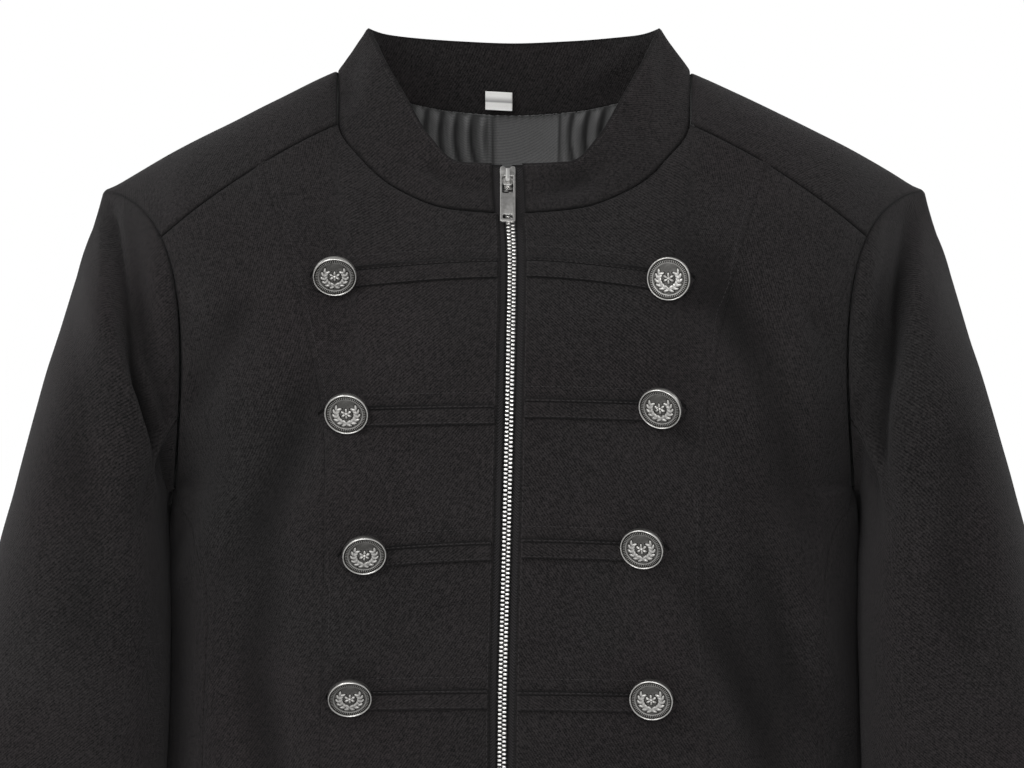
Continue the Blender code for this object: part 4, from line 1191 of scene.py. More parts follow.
def label_cloth(settings):
    """White woven label, left blank."""
    shade = Shade("label_cloth")
    across, along, _ = shade.split(shade.attribute("lay"))
    fibre = shade.noise(shade.place(), 2200.0, 2.0, 0.6)
    weave = ((across * (math.tau / 0.4)).sin() * (along * (math.tau / 0.4)).sin()) * 0.5 + 0.5
    colour = shade.mix((weave * 0.5 + fibre * 0.5).clamped(), (0.72, 0.71, 0.69), (0.9, 0.9, 0.88))
    colour = shade.mix(shade.attribute("shade", "Fac"), colour, (0.2, 0.2, 0.2))
    return shade.finish(
        Base_Color=colour, Roughness=0.7 + fibre * 0.2,
        Normal=shade.bump(weave, 0.00006, 0.8), Sheen_Weight=0.2,
    )


def zip_tape(settings):
    """Zip tape: a herringbone that slants away from the chain on both sides."""
    shade = Shade("zip_tape")
    across, along, _ = shade.split(shade.attribute("lay"))
    fibre = shade.noise(shade.place(), 1600.0, 2.0, 0.6)
    zigzag = across.maths("PINGPONG", across, 3.4)
    rib = ((along * (math.tau / 1.7) + zigzag * (math.tau / 1.7) + fibre).sin() * 0.5 + 0.5)
    colour = shade.mix((rib * 0.75 + fibre * 0.4 - 0.12).clamped(), (0.004, 0.0036, 0.0038),
                       (0.034, 0.0315, 0.0325))
    colour = shade.mix(shade.attribute("shade", "Fac"), colour, (0.001, 0.001, 0.001))
    return shade.finish(
        Base_Color=colour, Roughness=0.75 + fibre * 0.15,
        Normal=shade.bump(rib, 0.0003, 1.0), Specular_IOR_Level=0.2,
    )


def antique_silver(settings):
    """Antique silver: bright raised metal, dark tarnish in the hollows and fine scratches."""
    shade = Shade("antique_silver")
    place = shade.place()
    hollow = shade.attribute("hollow", "Fac")
    cloud = shade.noise(place, 320.0, 4.0, 0.6)
    grit = shade.noise(place, 2600.0, 2.0, 0.6)
    tarnish = (hollow * 1.05 + (cloud - 0.5) * 0.3 - 0.03).clamped()
    colour = shade.mix(tarnish, tuple(settings.silver_colour), tuple(settings.tarnish_colour))
    return shade.finish(
        Base_Color=colour,
        Metallic=1.0 - tarnish * 0.2,
        Roughness=(0.26 + tarnish * 0.3 + grit * 0.1).clamped(),
        Normal=shade.bump(grit * 0.5 + cloud * 0.5, 0.00006, 0.6),
    )


def bright_nickel(settings):
    """The zip's teeth and slider: polished, with painted shade at the feet of the teeth and under the
    pull tab, darker flat faces on the slider and pull, and random darker patches.
    """
    shade = Shade("bright_nickel")
    place = shade.place()
    cloud = shade.noise(place, 500.0, 3.0, 0.6)
    grit = shade.noise(place, 3000.0, 2.0, 0.6)
    hollow = shade.attribute("hollow", "Fac")
    # Darker where the hollow attribute is high: painted shade on the teeth, the flat faces of the
    # slider and pull, and random patches
    shade_and_dirt = (hollow * 0.9 + cloud * 0.35 - 0.2).clamped()
    colour = shade.mix(shade_and_dirt, (0.72, 0.71, 0.69), (0.03, 0.028, 0.026))
    return shade.finish(
        Base_Color=colour, Metallic=1.0 - shade_and_dirt * 0.2, Roughness=(0.22 + shade_and_dirt * 0.3 + grit * 0.06),
        Normal=shade.bump(grit, 0.00003, 0.4),
    )


def thread(settings):
    """Charcoal sewing thread, a little lighter and glossier than the cloth."""
    shade = Shade("thread")
    place = shade.place()
    twist = shade.noise(place, 3200.0, 2.0, 0.5)
    colour = shade.mix(twist, tuple(c * 0.5 for c in settings.thread_colour),
                       tuple(settings.thread_colour))
    return shade.finish(Base_Color=colour, Roughness=0.7 + twist * 0.2,
                        Normal=shade.bump(twist, 0.0001, 0.7), Specular_IOR_Level=0.2)


def studio_floor(settings):
    shade = Shade("studio_floor")
    cloud = shade.noise(shade.place(), 3.0, 3.0, 0.5)
    colour = shade.mix(cloud, (0.8, 0.8, 0.8), (0.86, 0.86, 0.86))
    return shade.finish(Base_Color=colour, Roughness=0.75 + cloud * 0.1)


MAKERS = {
    "charcoal_twill": charcoal_twill, "dark_satin": dark_satin, "label_cloth": label_cloth,
    "zip_tape": zip_tape, "antique_silver": antique_silver, "bright_nickel": bright_nickel,
    "thread": thread, "studio_floor": studio_floor,
}


def material(name):
    if name not in MATERIALS:
        MATERIALS[name] = MAKERS[name](bpy.context.scene.jacket_finish)
    return MATERIALS[name]


# ---------------------------------------------------------------- what lies on the front


def front_tree():
    """The outer faces of the four front pieces, to lay straps and stitches on."""
    points, faces = [], []
    for side, word in SIDES:
        for kind in ("centre_front", "side_front"):
            mesh = bpy.data.objects[f"{kind}_{word}_cloth"].data
            base = len(points)
            points += [v.co.copy() for v in mesh.vertices]
            faces += [tuple(base + v for v in p.vertices) for p in mesh.polygons]
    return BVHTree.FromPolygons(points, faces)


def depth_at(tree, x, z):
    """y of the front at x, z, as far in as the edge beside the zip and past any seam's gap."""
    centre = float(zip_x(z))
    edge = EDGE_FROM_ZIP + 0.6 * MM
    x = max(x, centre + edge) if x > centre else min(x, centre - edge)
    for aside in (0, 0.7, -0.7, 1.4, -1.4):
        place = tree.ray_cast(Vector((x + aside * MM, -1, z)), Vector((0, 1, 0)))[0]
        if place is not None:
            return place.y
    raise RuntimeError(f"nothing lies behind x {x:.4f}, z {z:.4f}")


def laid_rows(tree, xs, zs):
    """(points, normals) of a band laid on the front: columns zs over each of xs. The band
    bridges the seams' grooves."""
    grid = np.array([[depth_at(tree, x, z) for z in row] for x, row in zip(xs, zs)])
    run = np.abs(np.array(xs) - xs[0])
    weight = np.exp(-((run[:, None] - run) / (4 * MM)) ** 2)
    soft = weight @ grid / weight.sum(axis=1, keepdims=True)
    depth = np.minimum(soft, grid)
    x = np.broadcast_to(np.array(xs)[:, None], depth.shape)
    points = np.stack((x, depth, zs), axis=-1)
    across, up = np.gradient(points, axis=0), np.gradient(points, axis=1)
    normals = unit(np.cross(across, up))
    return points, normals * np.where(normals[..., 1:2] > 0, -1, 1)


def strap_places(side, place):
    """Along a strap: x, z, half width and share of the way to the button."""
    zip_z, button_x, button_z = (v * MM for v in place[:3])
    button_z -= STRAP_BELOW
    start = float(zip_x(zip_z)) + side * STRAP_FROM_ZIP
    end = button_x + side * STRAP_TIP_REACH
    run = abs(button_x - start)
    middle = abs(end - start) - STRAP_TIP_RADIUS
    places = list(np.linspace(0, middle, 40))
    places += [middle + STRAP_TIP_RADIUS * math.sin(math.radians(a)) for a in range(10, 90, 8)]
    out = []
    for at in places:
        share = at / run
        z = zip_z + (button_z - zip_z) * min(share, 1.0) ** STRAP_SAG
        half = STRAP_WIDTH / 2
        if at > middle - 8 * MM:
            half += (STRAP_TIP_RADIUS - half) * float(smoothstep((at - middle + 8 * MM) / (8 * MM)))
        if at > middle:
            half = math.sqrt(max(STRAP_TIP_RADIUS**2 - (at - middle) ** 2, 1e-9))
        out.append((start + side * at, z, half, share))
    return out


STRAP_ACROSS = (-1, -0.9, -0.78, -0.64, -0.45, -0.2, 0.1, 0.35, 0.5, 0.56, 0.6, 0.64, 0.7,
                0.8, 0.9, 1)
TUCK = 0.6  # where the second fold line lies, as a share of the half width


def strap_patch(tree, side, place):
    route = strap_places(side, place)
    across = np.array(STRAP_ACROSS)
    xs = [r[0] for r in route]
    half = np.array([r[2] for r in route])[:, None]
    share = np.array([r[3] for r in route])[:, None]
    zs = np.array([r[1] for r in route])[:, None] + half * across
    points, normals = laid_rows(tree, xs, zs)
    tuck = np.exp(-(((across - TUCK) * half) / (0.45 * MM)) ** 2)
    lip = 0.35 * smoothstep((across - TUCK) / 0.2)
    stitch = np.exp(-(((across + 0.72) * half) / (0.5 * MM)) ** 2)
    raised = 1.1 * smoothstep((share - 0.4) / 0.5) * np.maximum(across, 0)
    height = (-0.55 * tuck + lip - 0.22 * stitch + raised) * MM
    from_top, from_low = (1 - across) * half, (1 + across) * half
    slit = MM * (0.8 + 0.9 * smoothstep((share - 0.35) / 0.55))
    shade = 1.15 * np.exp(-((from_top / slit) ** 2)) + np.exp(-((from_low / (0.7 * MM)) ** 2))
    shade = np.clip(shade + 0.85 * tuck, 0, 1)
    return Patch(points, normals), height.ravel(), shade.ravel()


# ---------------------------------------------------------------- stitches

STITCH_SIDES = 5
HEM_UP = -0.945  # height on the body of the stitches that hold the hem
CUFF_DOWN = 0.957  # share down the sleeve of those that hold the cuff


def stitch_mesh(name, lines, settings):
    """Every stitch along lines of (point, normal), as small slack beads of thread."""
    points, faces = [], []
    pitch, length, thick = settings.stitch_pitch, settings.stitch_length, settings.thread_width
    profile = ((-0.5, 0.35), (-0.3, 0.95), (0.0, 1.1), (0.3, 0.95), (0.5, 0.35))
    for line in lines:
        place = np.array([p for p, _ in line])
        facing = np.array([n for _, n in line])
        run = lengths(place)
        count = int(run[-1] / pitch)
        for k in range(count):
            middle = (k + 0.5) * run[-1] / count
            at = np.array([np.interp(middle, run, place[:, i]) for i in range(3)])
            ahead = np.array([np.interp(middle + MM, run, place[:, i]) for i in range(3)])
            behind = np.array([np.interp(middle - MM, run, place[:, i]) for i in range(3)])
            along = unit(ahead - behind)
            up = unit(np.array([np.interp(middle, run, facing[:, i]) for i in range(3)]))
            across = unit(np.cross(along, up))
            base = len(points)
            for share, wide in profile:
                for s in range(STITCH_SIDES):
                    turn = math.tau * s / STITCH_SIDES
                    offset = across * math.cos(turn) + up * (math.sin(turn) * 0.8)
                    sunk = -abs(share) * 0.9
                    points.append(at + along * share * length + up * thick * 0.5 * sunk
                                  + offset * wide * thick / 2)
            for r in range(len(profile) - 1):
                for s in range(STITCH_SIDES):
                    a, b = base + r * STITCH_SIDES + s, base + r * STITCH_SIDES + (s + 1) % STITCH_SIDES
                    faces.append((a, b, b + STITCH_SIDES, a + STITCH_SIDES))
            faces.append(tuple(base + s for s in reversed(range(STITCH_SIDES))))
            last = base + (len(profile) - 1) * STITCH_SIDES
            faces.append(tuple(last + s for s in range(STITCH_SIDES)))
    obj = add_object(name, points, faces, [material("thread")])
    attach(obj, "jacket")
    return obj


def laid_on(tree, points):
    """The points moved to the nearest place of a surface, with its normals."""
    out = []
    for point in points:
        place, normal, _, _ = tree.find_nearest(Vector(point))
        out.append((np.array(place), np.array(normal)))
    return out


def tree_of(*names):
    points, faces = [], []
    for name in names:
        mesh = bpy.data.objects[name].data
        base = len(points)
        points += [v.co.copy() for v in mesh.vertices]
        faces += [tuple(base + v for v in p.vertices) for p in mesh.polygons]
    return BVHTree.FromPolygons(points, faces)


# ---------------------------------------------------------------- metal

# Button face: radius and height of the turned form, in millimetres
BUTTON_FACE = ((0, 8.3), (9.1, 8.2), (9.3, 8.35), (9.5, 8.15), (11.0, 8.15), (11.3, 8.25), (11.5, 8.75),
               (11.75, 9.02), (11.95, 9.0), (12.25, 8.7), (12.35, 8.3))
BUTTON_BACK = ((12.35, 7.4), (12.3, 6.2), (12.1, 5.4), (11.4, 4.8), (9.0, 4.6), (5.0, 4.5), (2.5, 4.4),
               (2.2, 4.1), (2.2, 0.6), (2.0, 0.1), (0, 0.0))
BUTTON_SIDES = 180
MILLING = 60
CAD_BUTTON = ((0, 8.7), (10.2, 8.2), (10.9, 9.0), (11.9, 9.0), (12.3, 8.4), (12.2, 7.2),
              (9.0, 5.4), (2.5, 4.7), (2.2, 0), (0, 0))
CAD_BUTTON_SIDES = 20
# Relief: two leafy twigs that cross below a small flower
LEAVES_A_SIDE = 6
LEAF = (1.75, 0.72, 0.75)  # half length, half width, height
PETALS = 6
PETAL = (1.35, 0.7, 0.8)
TWIG_RADIUS = 5.9


def relief_shapes():
    """Ellipses of the relief: x, y, direction, half length, half width, height."""
    shapes = [(0, 0.3, 0, 0.85, 0.85, 1.0)]
    for k in range(PETALS):
        turn = math.tau * (k + 0.5) / PETALS
        shapes.append((2.0 * math.cos(turn), 0.3 + 2.0 * math.sin(turn), turn, *PETAL))
    for side in (-1, 1):
        for k in range(LEAVES_A_SIDE):
            turn = math.radians(-78 + 23 * k)
            for aside in (-1, 1):
                radius = TWIG_RADIUS + 0.95 * aside
                x, y = side * radius * math.cos(turn), radius * math.sin(turn)
                heading = turn + math.radians(90 - 32 * aside)
                heading = heading if side > 0 else math.pi - heading
                shapes.append((x, y, heading, *LEAF))
        for k in range(26):
            turn = math.radians(-100 + 5.4 * k)
            x, y = side * TWIG_RADIUS * math.cos(turn), TWIG_RADIUS * math.sin(turn)
            shapes.append((x, y, 0, 0.34, 0.34, 0.5))
    return shapes


def ornament(x, y, swell=1.0):
    """Height of the relief over the button's face, in millimetres."""
    rise = np.zeros_like(x)
    for at_x, at_y, turn, long, wide, high in relief_shapes():
        dx, dy = x - at_x, y - at_y
        u = (dx * math.cos(turn) + dy * math.sin(turn)) / (long * swell)
        v = (dy * math.cos(turn) - dx * math.sin(turn)) / (wide * swell)
        inside = np.clip(1 - u * u - v * v, 0, 1)
        vein = 1 - 0.3 * np.exp(-((v / 0.22) ** 2)) if long > wide else 1.0
        rise = np.maximum(rise, high * np.sqrt(inside) * vein)
    return rise


def button_mesh():
    """Turned button with its relief, one mesh for all eight: points, faces and how hollow."""
    fine = []
    for (r0, h0), (r1, h1) in zip(BUTTON_FACE, BUTTON_FACE[1:]):
        steps = max(int(math.hypot(r1 - r0, h1 - h0) / 0.26), 1)
        fine += [(r0 + (r1 - r0) * k / steps, h0 + (h1 - h0) * k / steps) for k in range(steps)]
    rings = np.array(fine[1:] + [BUTTON_FACE[-1]] + list(BUTTON_BACK[:-1]))
    turns = math.tau * np.arange(BUTTON_SIDES) / BUTTON_SIDES
    radius, height = rings[:, :1], rings[:, 1:]
    x, y = radius * np.cos(turns), radius * np.sin(turns)
    face = np.arange(len(rings))[:, None] < len(fine)
    field = face & (radius < 9.0)
    rise = np.where(field, ornament(x, y), 0.0)
    hatch = 0.5 + 0.5 * np.cos(math.tau * y / 0.62)
    shadow = field & (ornament(x, y, 1.4) > 0)
    hollow = np.where(field, np.where(shadow, 1.0, 0.93 - 0.2 * hatch), 0.0)
    hollow = np.where(field & (rise > 0), np.clip(0.6 - rise * 0.9, 0, 1), hollow)
    ring = face & (radius > 9.45) & (radius < 11.35)
    groove = 0.5 + 0.5 * np.cos(MILLING * turns) * np.ones_like(radius)
    rise = np.where(ring & (radius < 10.9), 0.42 * groove, rise)
    hollow = np.where(ring, np.where(radius < 10.9, 1.2 - 0.85 * groove**2, 1.2), hollow)
    hollow = np.where(face & (radius > 9.0) & (radius <= 9.45), 0.45, hollow)
    back = ~face & (radius < 11.9)
    hollow = np.where(back, 0.8, hollow)
    points = np.stack((x, y, height + rise), axis=-1).reshape(-1, 3)
    points = np.vstack(((0, 0, 8.3 + 1.0), points, (0, 0, 0))) * MM
    hollow = np.concatenate(([0.0], hollow.ravel(), [0.5]))
    count, faces = BUTTON_SIDES, []
    last = 1 + (len(rings) - 1) * count
    for k in range(count):
        after = (k + 1) % count
        faces.append((0, 1 + k, 1 + after))
        faces.append((len(points) - 1, last + after, last + k))
        for start in range(1, last, count):
            faces.append((start + k, start + k + count, start + after + count, start + after))
    return points, faces, hollow


def button_turn(place):
    droop, turn = place[3:]
    facing = Vector((0, -1, 0))
    facing.rotate(Matrix.Rotation(math.radians(droop), 3, "X"))
    facing.rotate(Matrix.Rotation(math.radians(turn), 3, "Z"))
    return facing.to_track_quat("Z", "Y").to_matrix()


def slider_frame():
    """Origin of the slider on the face of the collar, and its out and up directions."""
    low, high = collar_edge(-1, 0.0)
    foot = collar_point(-1, True, low, high, 0.0)
    rim = collar_point(-1, True, low, high, 1.0)
    up = unit((rim - foot) * (0, 1, 1))
    out = np.array((0, -up[2], up[1]))
    return foot + (rim - foot) * SLIDER_MIDDLE, out, up


def slider_matrix(origin, out, up, lean=0.0):
    basis = Matrix((
        (1, 0, 0, origin[0]),
        (0, out[1], up[1], origin[1]),
        (0, out[2], up[2], origin[2]),
        (0, 0, 0, 1),
    ))
    return basis @ Matrix.Rotation(math.radians(lean), 4, "X")


def rounded(width, low, high, radius, steps=5):
    """Outline of a rounded box, in the plane of x and up."""
    out = []
    for cx, cy, start in (
        (width / 2 - radius, low + radius, -90), (width / 2 - radius, high - radius, 0),
        (-width / 2 + radius, high - radius, 90), (-width / 2 + radius, low + radius, 180),
    ):
        for k in range(steps + 1):
            turn = math.radians(start + 90 * k / steps)
            out.append((cx + radius * math.cos(turn), cy + radius * math.sin(turn)))
    return out


def softened(corners, rounds=3):
    """Outline with its corners cut again and again until they are round."""
    for _ in range(rounds):
        after = corners[1:] + corners[:1]
        corners = [
            (a[0] + (b[0] - a[0]) * t, a[1] + (b[1] - a[1]) * t)
            for a, b in zip(corners, after) for t in (0.25, 0.75)
        ]
    return corners


# Slider's plates, x and up in millimetres: winged top, notch for the teeth, narrow foot
SLIDER_PLATE = ((-2.7, -6.3), (2.7, -6.3), (3.1, -3.0), (4.4, 0.5), (4.4, 4.2), (4.1, 6.3),
                (1.8, 6.2), (0.9, 4.4), (-0.9, 4.4), (-1.8, 6.2), (-4.1, 6.3), (-4.4, 4.2),
                (-4.4, 0.5), (-3.1, -3.0))


def plate(outlines, low, high, bevel):
    """Mesh of a flat plate with rounded edges: outlines in (x, up), out from low to high."""
    curve = bpy.data.curves.new("plate", "CURVE")
    curve.dimensions = "2D"
    curve.fill_mode = "BOTH"
    for outline in outlines:
        spline = curve.splines.new("POLY")
        spline.points.add(len(outline) - 1)
        for point, (x, y) in zip(spline.points, outline):
            point.co = (x * MM, y * MM, 0, 1)
        spline.use_cyclic_u = True
    curve.extrude = ((high - low) / 2 - bevel) * MM
    curve.bevel_depth = bevel * MM
    curve.bevel_resolution = 2
    curve.offset = -bevel * MM
    holder = bpy.data.objects.new("plate", curve)
    bpy.context.scene.collection.objects.link(holder)
    mesh = bpy.data.meshes.new_from_object(holder.evaluated_get(bpy.context.evaluated_depsgraph_get()))
    bpy.data.objects.remove(holder)
    bpy.data.curves.remove(curve)
    # From (x, up, out) to (x, out, up)
    mesh.transform(Matrix(((1, 0, 0, 0), (0, 0, 1, (low + high) / 2 * MM), (0, 1, 0, 0), (0, 0, 0, 1))))
    mesh.flip_normals()
    return mesh


def joined(name, meshes, matrix, materials, body, faces_out):
    """One object of several meshes, moved by a matrix. faces_out are the heights, in
    millimetres, of its flat outer faces."""
    build = bmesh.new()
    for mesh in meshes:
        build.from_mesh(mesh)
        bpy.data.meshes.remove(mesh)
    bmesh.ops.remove_doubles(build, verts=build.verts, dist=1e-6)
    bmesh.ops.transform(build, matrix=matrix, verts=build.verts)
    bmesh.ops.recalc_face_normals(build, faces=build.faces)
    mesh = bpy.data.meshes.new(name)
    build.to_mesh(mesh)
    build.free()
    for each in materials:
        mesh.materials.append(each)
    mesh.shade_smooth()
    mesh.set_sharp_from_angle(angle=math.radians(35))
    obj = bpy.data.objects.new(name, mesh)
    bpy.context.scene.collection.objects.link(obj)
    # The flat faces that point out are darker and duller than the edges round them
    back = matrix.inverted()
    outs = np.array([(back @ v.co).y for v in mesh.vertices])
    flat = np.isin(np.round(outs / (0.05 * MM)), np.round(np.array(faces_out) / 0.05))
    set_attribute(obj, "hollow", "FLOAT", np.where(flat, 0.78, 0.25))
    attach(obj, body)
    return obj


def tooth_mesh():
    """One tooth: x across, y down the chain, z out, in millimetres, with worn edges."""
    build = bmesh.new()
    bmesh.ops.create_cube(build, size=1.0)
    for vertex in build.verts:
        x, y, z = vertex.co
        vertex.co = (x * 2.4 + 1.26, y * 1.45, z * 2.3)
    bmesh.ops.bevel(build, geom=build.edges[:], offset=0.42, segments=2, profile=0.5, affect="EDGES")
    build.verts.ensure_lookup_table()
    points = [tuple(v.co) for v in build.verts]
    faces = [[v.index for v in f.verts] for f in build.faces]
    build.free()
    return np.array(points) * MM, faces


# ---------------------------------------------------------------- settings


class JacketFinish(bpy.types.PropertyGroup):
    """Colours and fine sizes of the jacket's finishes."""

    cloth_colour: FloatVectorProperty(
        name="Cloth colour", description="Lit side of the charcoal twill",
        subtype="COLOR", size=3, min=0, max=1, default=(0.0245, 0.0247, 0.0243))
    warm_colour: FloatVectorProperty(
        name="Warm cloth colour", description="Brownish patches of the twill",
        subtype="COLOR", size=3, min=0, max=1, default=(0.0265, 0.0205, 0.0215))
    shadow_colour: FloatVectorProperty(
        name="Cloth shadow colour", description="Hollows between the ribs of the twill",
        subtype="COLOR", size=3, min=0, max=1, default=(0.0012, 0.0010, 0.0011))
    sheen: FloatProperty(
        name="Cloth haze", description="Light caught by loose fibres", min=0, max=1, default=0.05)
    twill_pitch: FloatProperty(
        name="Twill pitch", description="Distance between two ribs of the twill",
        unit="LENGTH", subtype="DISTANCE", min=0.0003, max=0.003, default=0.0017)
    lining_colour: FloatVectorProperty(
        name="Lining colour", description="Satin of the neck lining",
        subtype="COLOR", size=3, min=0, max=1, default=(0.215, 0.215, 0.215))
    silver_colour: FloatVectorProperty(
        name="Silver colour", description="Raised parts of the buttons",
        subtype="COLOR", size=3, min=0, max=1, default=(0.56, 0.55, 0.53))
    tarnish_colour: FloatVectorProperty(
        name="Tarnish colour", description="Hollows of the buttons",
        subtype="COLOR", size=3, min=0, max=1, default=(0.016, 0.015, 0.013))
    thread_colour: FloatVectorProperty(
        name="Thread colour", description="Topstitching thread",
        subtype="COLOR", size=3, min=0, max=1, default=(0.038, 0.035, 0.036))
    cloth_thickness: FloatProperty(
        name="Cloth thickness", description="Outer cloth with its backing",
        unit="LENGTH", subtype="DISTANCE", min=0.0005, max=0.004, default=0.0018)
    stitch_pitch: FloatProperty(
        name="Stitch pitch", description="Distance from one stitch to the next",
        unit="LENGTH", subtype="DISTANCE", min=0.001, max=0.01, default=0.0029)
    stitch_length: FloatProperty(
        name="Stitch length", description="Length of thread that shows",
        unit="LENGTH", subtype="DISTANCE", min=0.0005, max=0.008, default=0.0021)
    thread_width: FloatProperty(
        name="Thread width", description="Thickness of the topstitching thread",
        unit="LENGTH", subtype="DISTANCE", min=0.0001, max=0.001, default=0.00042)


class JacketStage(bpy.types.PropertyGroup):
    """Floor, light and camera."""

    floor_drop: FloatProperty(
        name="Floor below the hem", description="Room between the hem and the floor",
        unit="LENGTH", subtype="DISTANCE", min=0, max=1, default=0.06)
    key_power: FloatProperty(
        name="Key light", description="Large soft light high in front", unit="POWER",
        min=0, max=500, default=30.0)
    front_power: FloatProperty(
        name="Front light", description="Weak light beside the camera", unit="POWER",
        min=0, max=500, default=30.0)
    fill_power: FloatProperty(
        name="Side lights", description="Soft light from each side behind", unit="POWER",
        min=0, max=500, default=6.5)
    surround: FloatProperty(
        name="Surround", description="Light that comes from all round", min=0, max=3, default=0.8)
    lens: FloatProperty(
        name="Lens", description="Focal length of the camera", unit="CAMERA",
        min=20, max=400, default=213.4)
    distance: FloatProperty(
        name="Camera distance", description="From the camera to the neck",
        unit="LENGTH", subtype="DISTANCE", min=1, max=10, default=3.5)
    camera_height: FloatProperty(
        name="Camera height", description="Height of the camera, from the neck",
        unit="LENGTH", subtype="DISTANCE", default=-0.168)


# ---------------------------------------------------------------- operators


class JACKET_OT_stage(bpy.types.Operator):
    """Pale floor, soft light from all round, and the camera"""

    bl_idname = "jacket.stage"
    bl_label = "Stage"

    def execute(self, context):
        stage = context.scene.jacket_stage
        build = bmesh.new()
        bmesh.ops.create_circle(build, cap_ends=True, radius=6.0, segments=96)
        mesh = bpy.data.meshes.new("floor")
        build.to_mesh(mesh)
        build.free()
        mesh.materials.append(material("studio_floor"))
        floor = bpy.data.objects.new("floor", mesh)
        floor.location = (0, 0, CAD_BOX[0][2] - stage.floor_drop)
        context.scene.collection.objects.link(floor)
        world = bpy.data.worlds.new("studio")
        context.scene.world = world
        world.use_nodes = True
        nodes, links = world.node_tree.nodes, world.node_tree.links
        nodes.clear()
        seen = nodes.new("ShaderNodeBackground")
        seen.inputs["Color"].default_value = (1, 1, 1, 1)
        lit = nodes.new("ShaderNodeBackground")
        lit.inputs["Strength"].default_value = stage.surround
        place, split = nodes.new("ShaderNodeTexCoord"), nodes.new("ShaderNodeSeparateXYZ")
        rise, ramp = nodes.new("ShaderNodeMapRange"), nodes.new("ShaderNodeValToRGB")
        rise.inputs["From Min"].default_value = -1.0
        ramp.color_ramp.interpolation = "EASE"
        ramp.color_ramp.elements.new(0.98)
        stops = ((0.38, 0.16), (0.62, 1.0), (0.98, 0.5))
        for element, (at, grey) in zip(ramp.color_ramp.elements, stops):
            element.position = at
            element.color = (grey, grey, grey, 1)
        links.new(place.outputs["Generated"], split.inputs[0])
        links.new(split.outputs["Z"], rise.inputs["Value"])
        links.new(rise.outputs["Result"], ramp.inputs["Fac"])
        links.new(ramp.outputs["Color"], lit.inputs["Color"])
        path, mix = nodes.new("ShaderNodeLightPath"), nodes.new("ShaderNodeMixShader")
        out = nodes.new("ShaderNodeOutputWorld")
        links.new(path.outputs["Is Camera Ray"], mix.inputs[0])
        links.new(lit.outputs[0], mix.inputs[1])
        links.new(seen.outputs[0], mix.inputs[2])
        links.new(mix.outputs[0], out.inputs[0])
        self.light(context, "key", (-1.35, -1.75, 1.45), (1.5, 1.2), stage.key_power, (0, 0, -0.25))
        self.light(context, "front", (0.1, -3.3, 0.25), (1.2, 0.9), stage.front_power, (0, 0, -0.1))
        for side, word in SIDES:
            self.light(context, f"side_{word}", (1.7 * side, 1.0, 0.35), (0.9, 1.9),
                       stage.fill_power, (0.1 * side, 0, -0.3))
        camera = bpy.data.cameras.new("camera")
        camera.lens = stage.lens
        camera.sensor_width = 36.0
        holder = bpy.data.objects.new("camera", camera)
        holder.location = (-0.00115, -stage.distance, stage.camera_height)
        holder.rotation_euler = (math.radians(90), 0, 0)
        context.scene.collection.objects.link(holder)
        context.scene.camera = holder
        context.scene.view_settings.view_transform = "Standard"
        return {"FINISHED"}

    @staticmethod
    def light(context, name, place, size, power, aim):
        lamp = bpy.data.lights.new(name, "AREA")
        lamp.shape = "RECTANGLE"
        lamp.size, lamp.size_y = size
        lamp.energy = power
        obj = bpy.data.objects.new(name, lamp)
        obj.location = place
        obj.rotation_euler = (Vector(aim) - Vector(place)).to_track_quat("-Z", "Y").to_euler()
        obj.visible_camera = False
        context.scene.collection.objects.link(obj)


class JACKET_OT_fronts(bpy.types.Operator):
    """Centre fronts, side fronts and side panels"""

    bl_idname = "jacket.fronts"
    bl_label = "Fronts and side panels"

    def execute(self, context):
        thick = context.scene.jacket_finish.cloth_thickness
        for side, word in SIDES:
            for kind, patch in (
                ("centre_front", front_patch(side, True)),
                ("side_front", front_patch(side, False)),
                ("side_panel", side_patch(side)),
            ):
                obj, area = shell(
                    f"{kind}_{word}_cloth", [patch],
                    [material("charcoal_twill"), material("dark_satin")], thick, body_move,
                    smooth=True, seam_depth=body_seam,
                )
                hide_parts(f"{kind}_{word}")
                cloth_piece(obj, patch.sizes(), area)
        return {"FINISHED"}


class JACKET_OT_back(bpy.types.Operator):
    """The back, with its forward shoulder strips"""

    bl_idname = "jacket.back"
    bl_label = "Back"

    def execute(self, context):
        thick = context.scene.jacket_finish.cloth_thickness
        patches = back_patches()
        obj, area = shell("back_cloth", patches, [material("charcoal_twill"), material("dark_satin")],
                          thick, body_move, smooth=True, seam_depth=body_seam)
        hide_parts("back")
        width = 2 * patches[0].sizes()[0]
        length = patches[0].sizes()[1] + patches[1].sizes()[1]
        cloth_piece(obj, (width, length), area)
        return {"FINISHED"}


class JACKET_OT_sleeves(bpy.types.Operator):
    """Upper and under sleeves"""

    bl_idname = "jacket.sleeves"
    bl_label = "Sleeves"

    def execute(self, context):
        thick = context.scene.jacket_finish.cloth_thickness
        for side, word in SIDES:
            armhole = Armhole(side)
            for kind, first, last in (
                ("upper_sleeve", armhole.hind - 1, armhole.fore),
                ("under_sleeve", armhole.fore, armhole.hind),
            ):
                patch = sleeve_patch(side, first, last)
                obj, area = shell(
                    f"{kind}_{word}_cloth", [patch],
                    [material("charcoal_twill"), material("dark_satin")], thick, sleeve_move,
                    seam_depth=sleeve_seam,
                )
                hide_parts(f"{kind}_{word}")
                cloth_piece(obj, patch.sizes(), area)
        return {"FINISHED"}


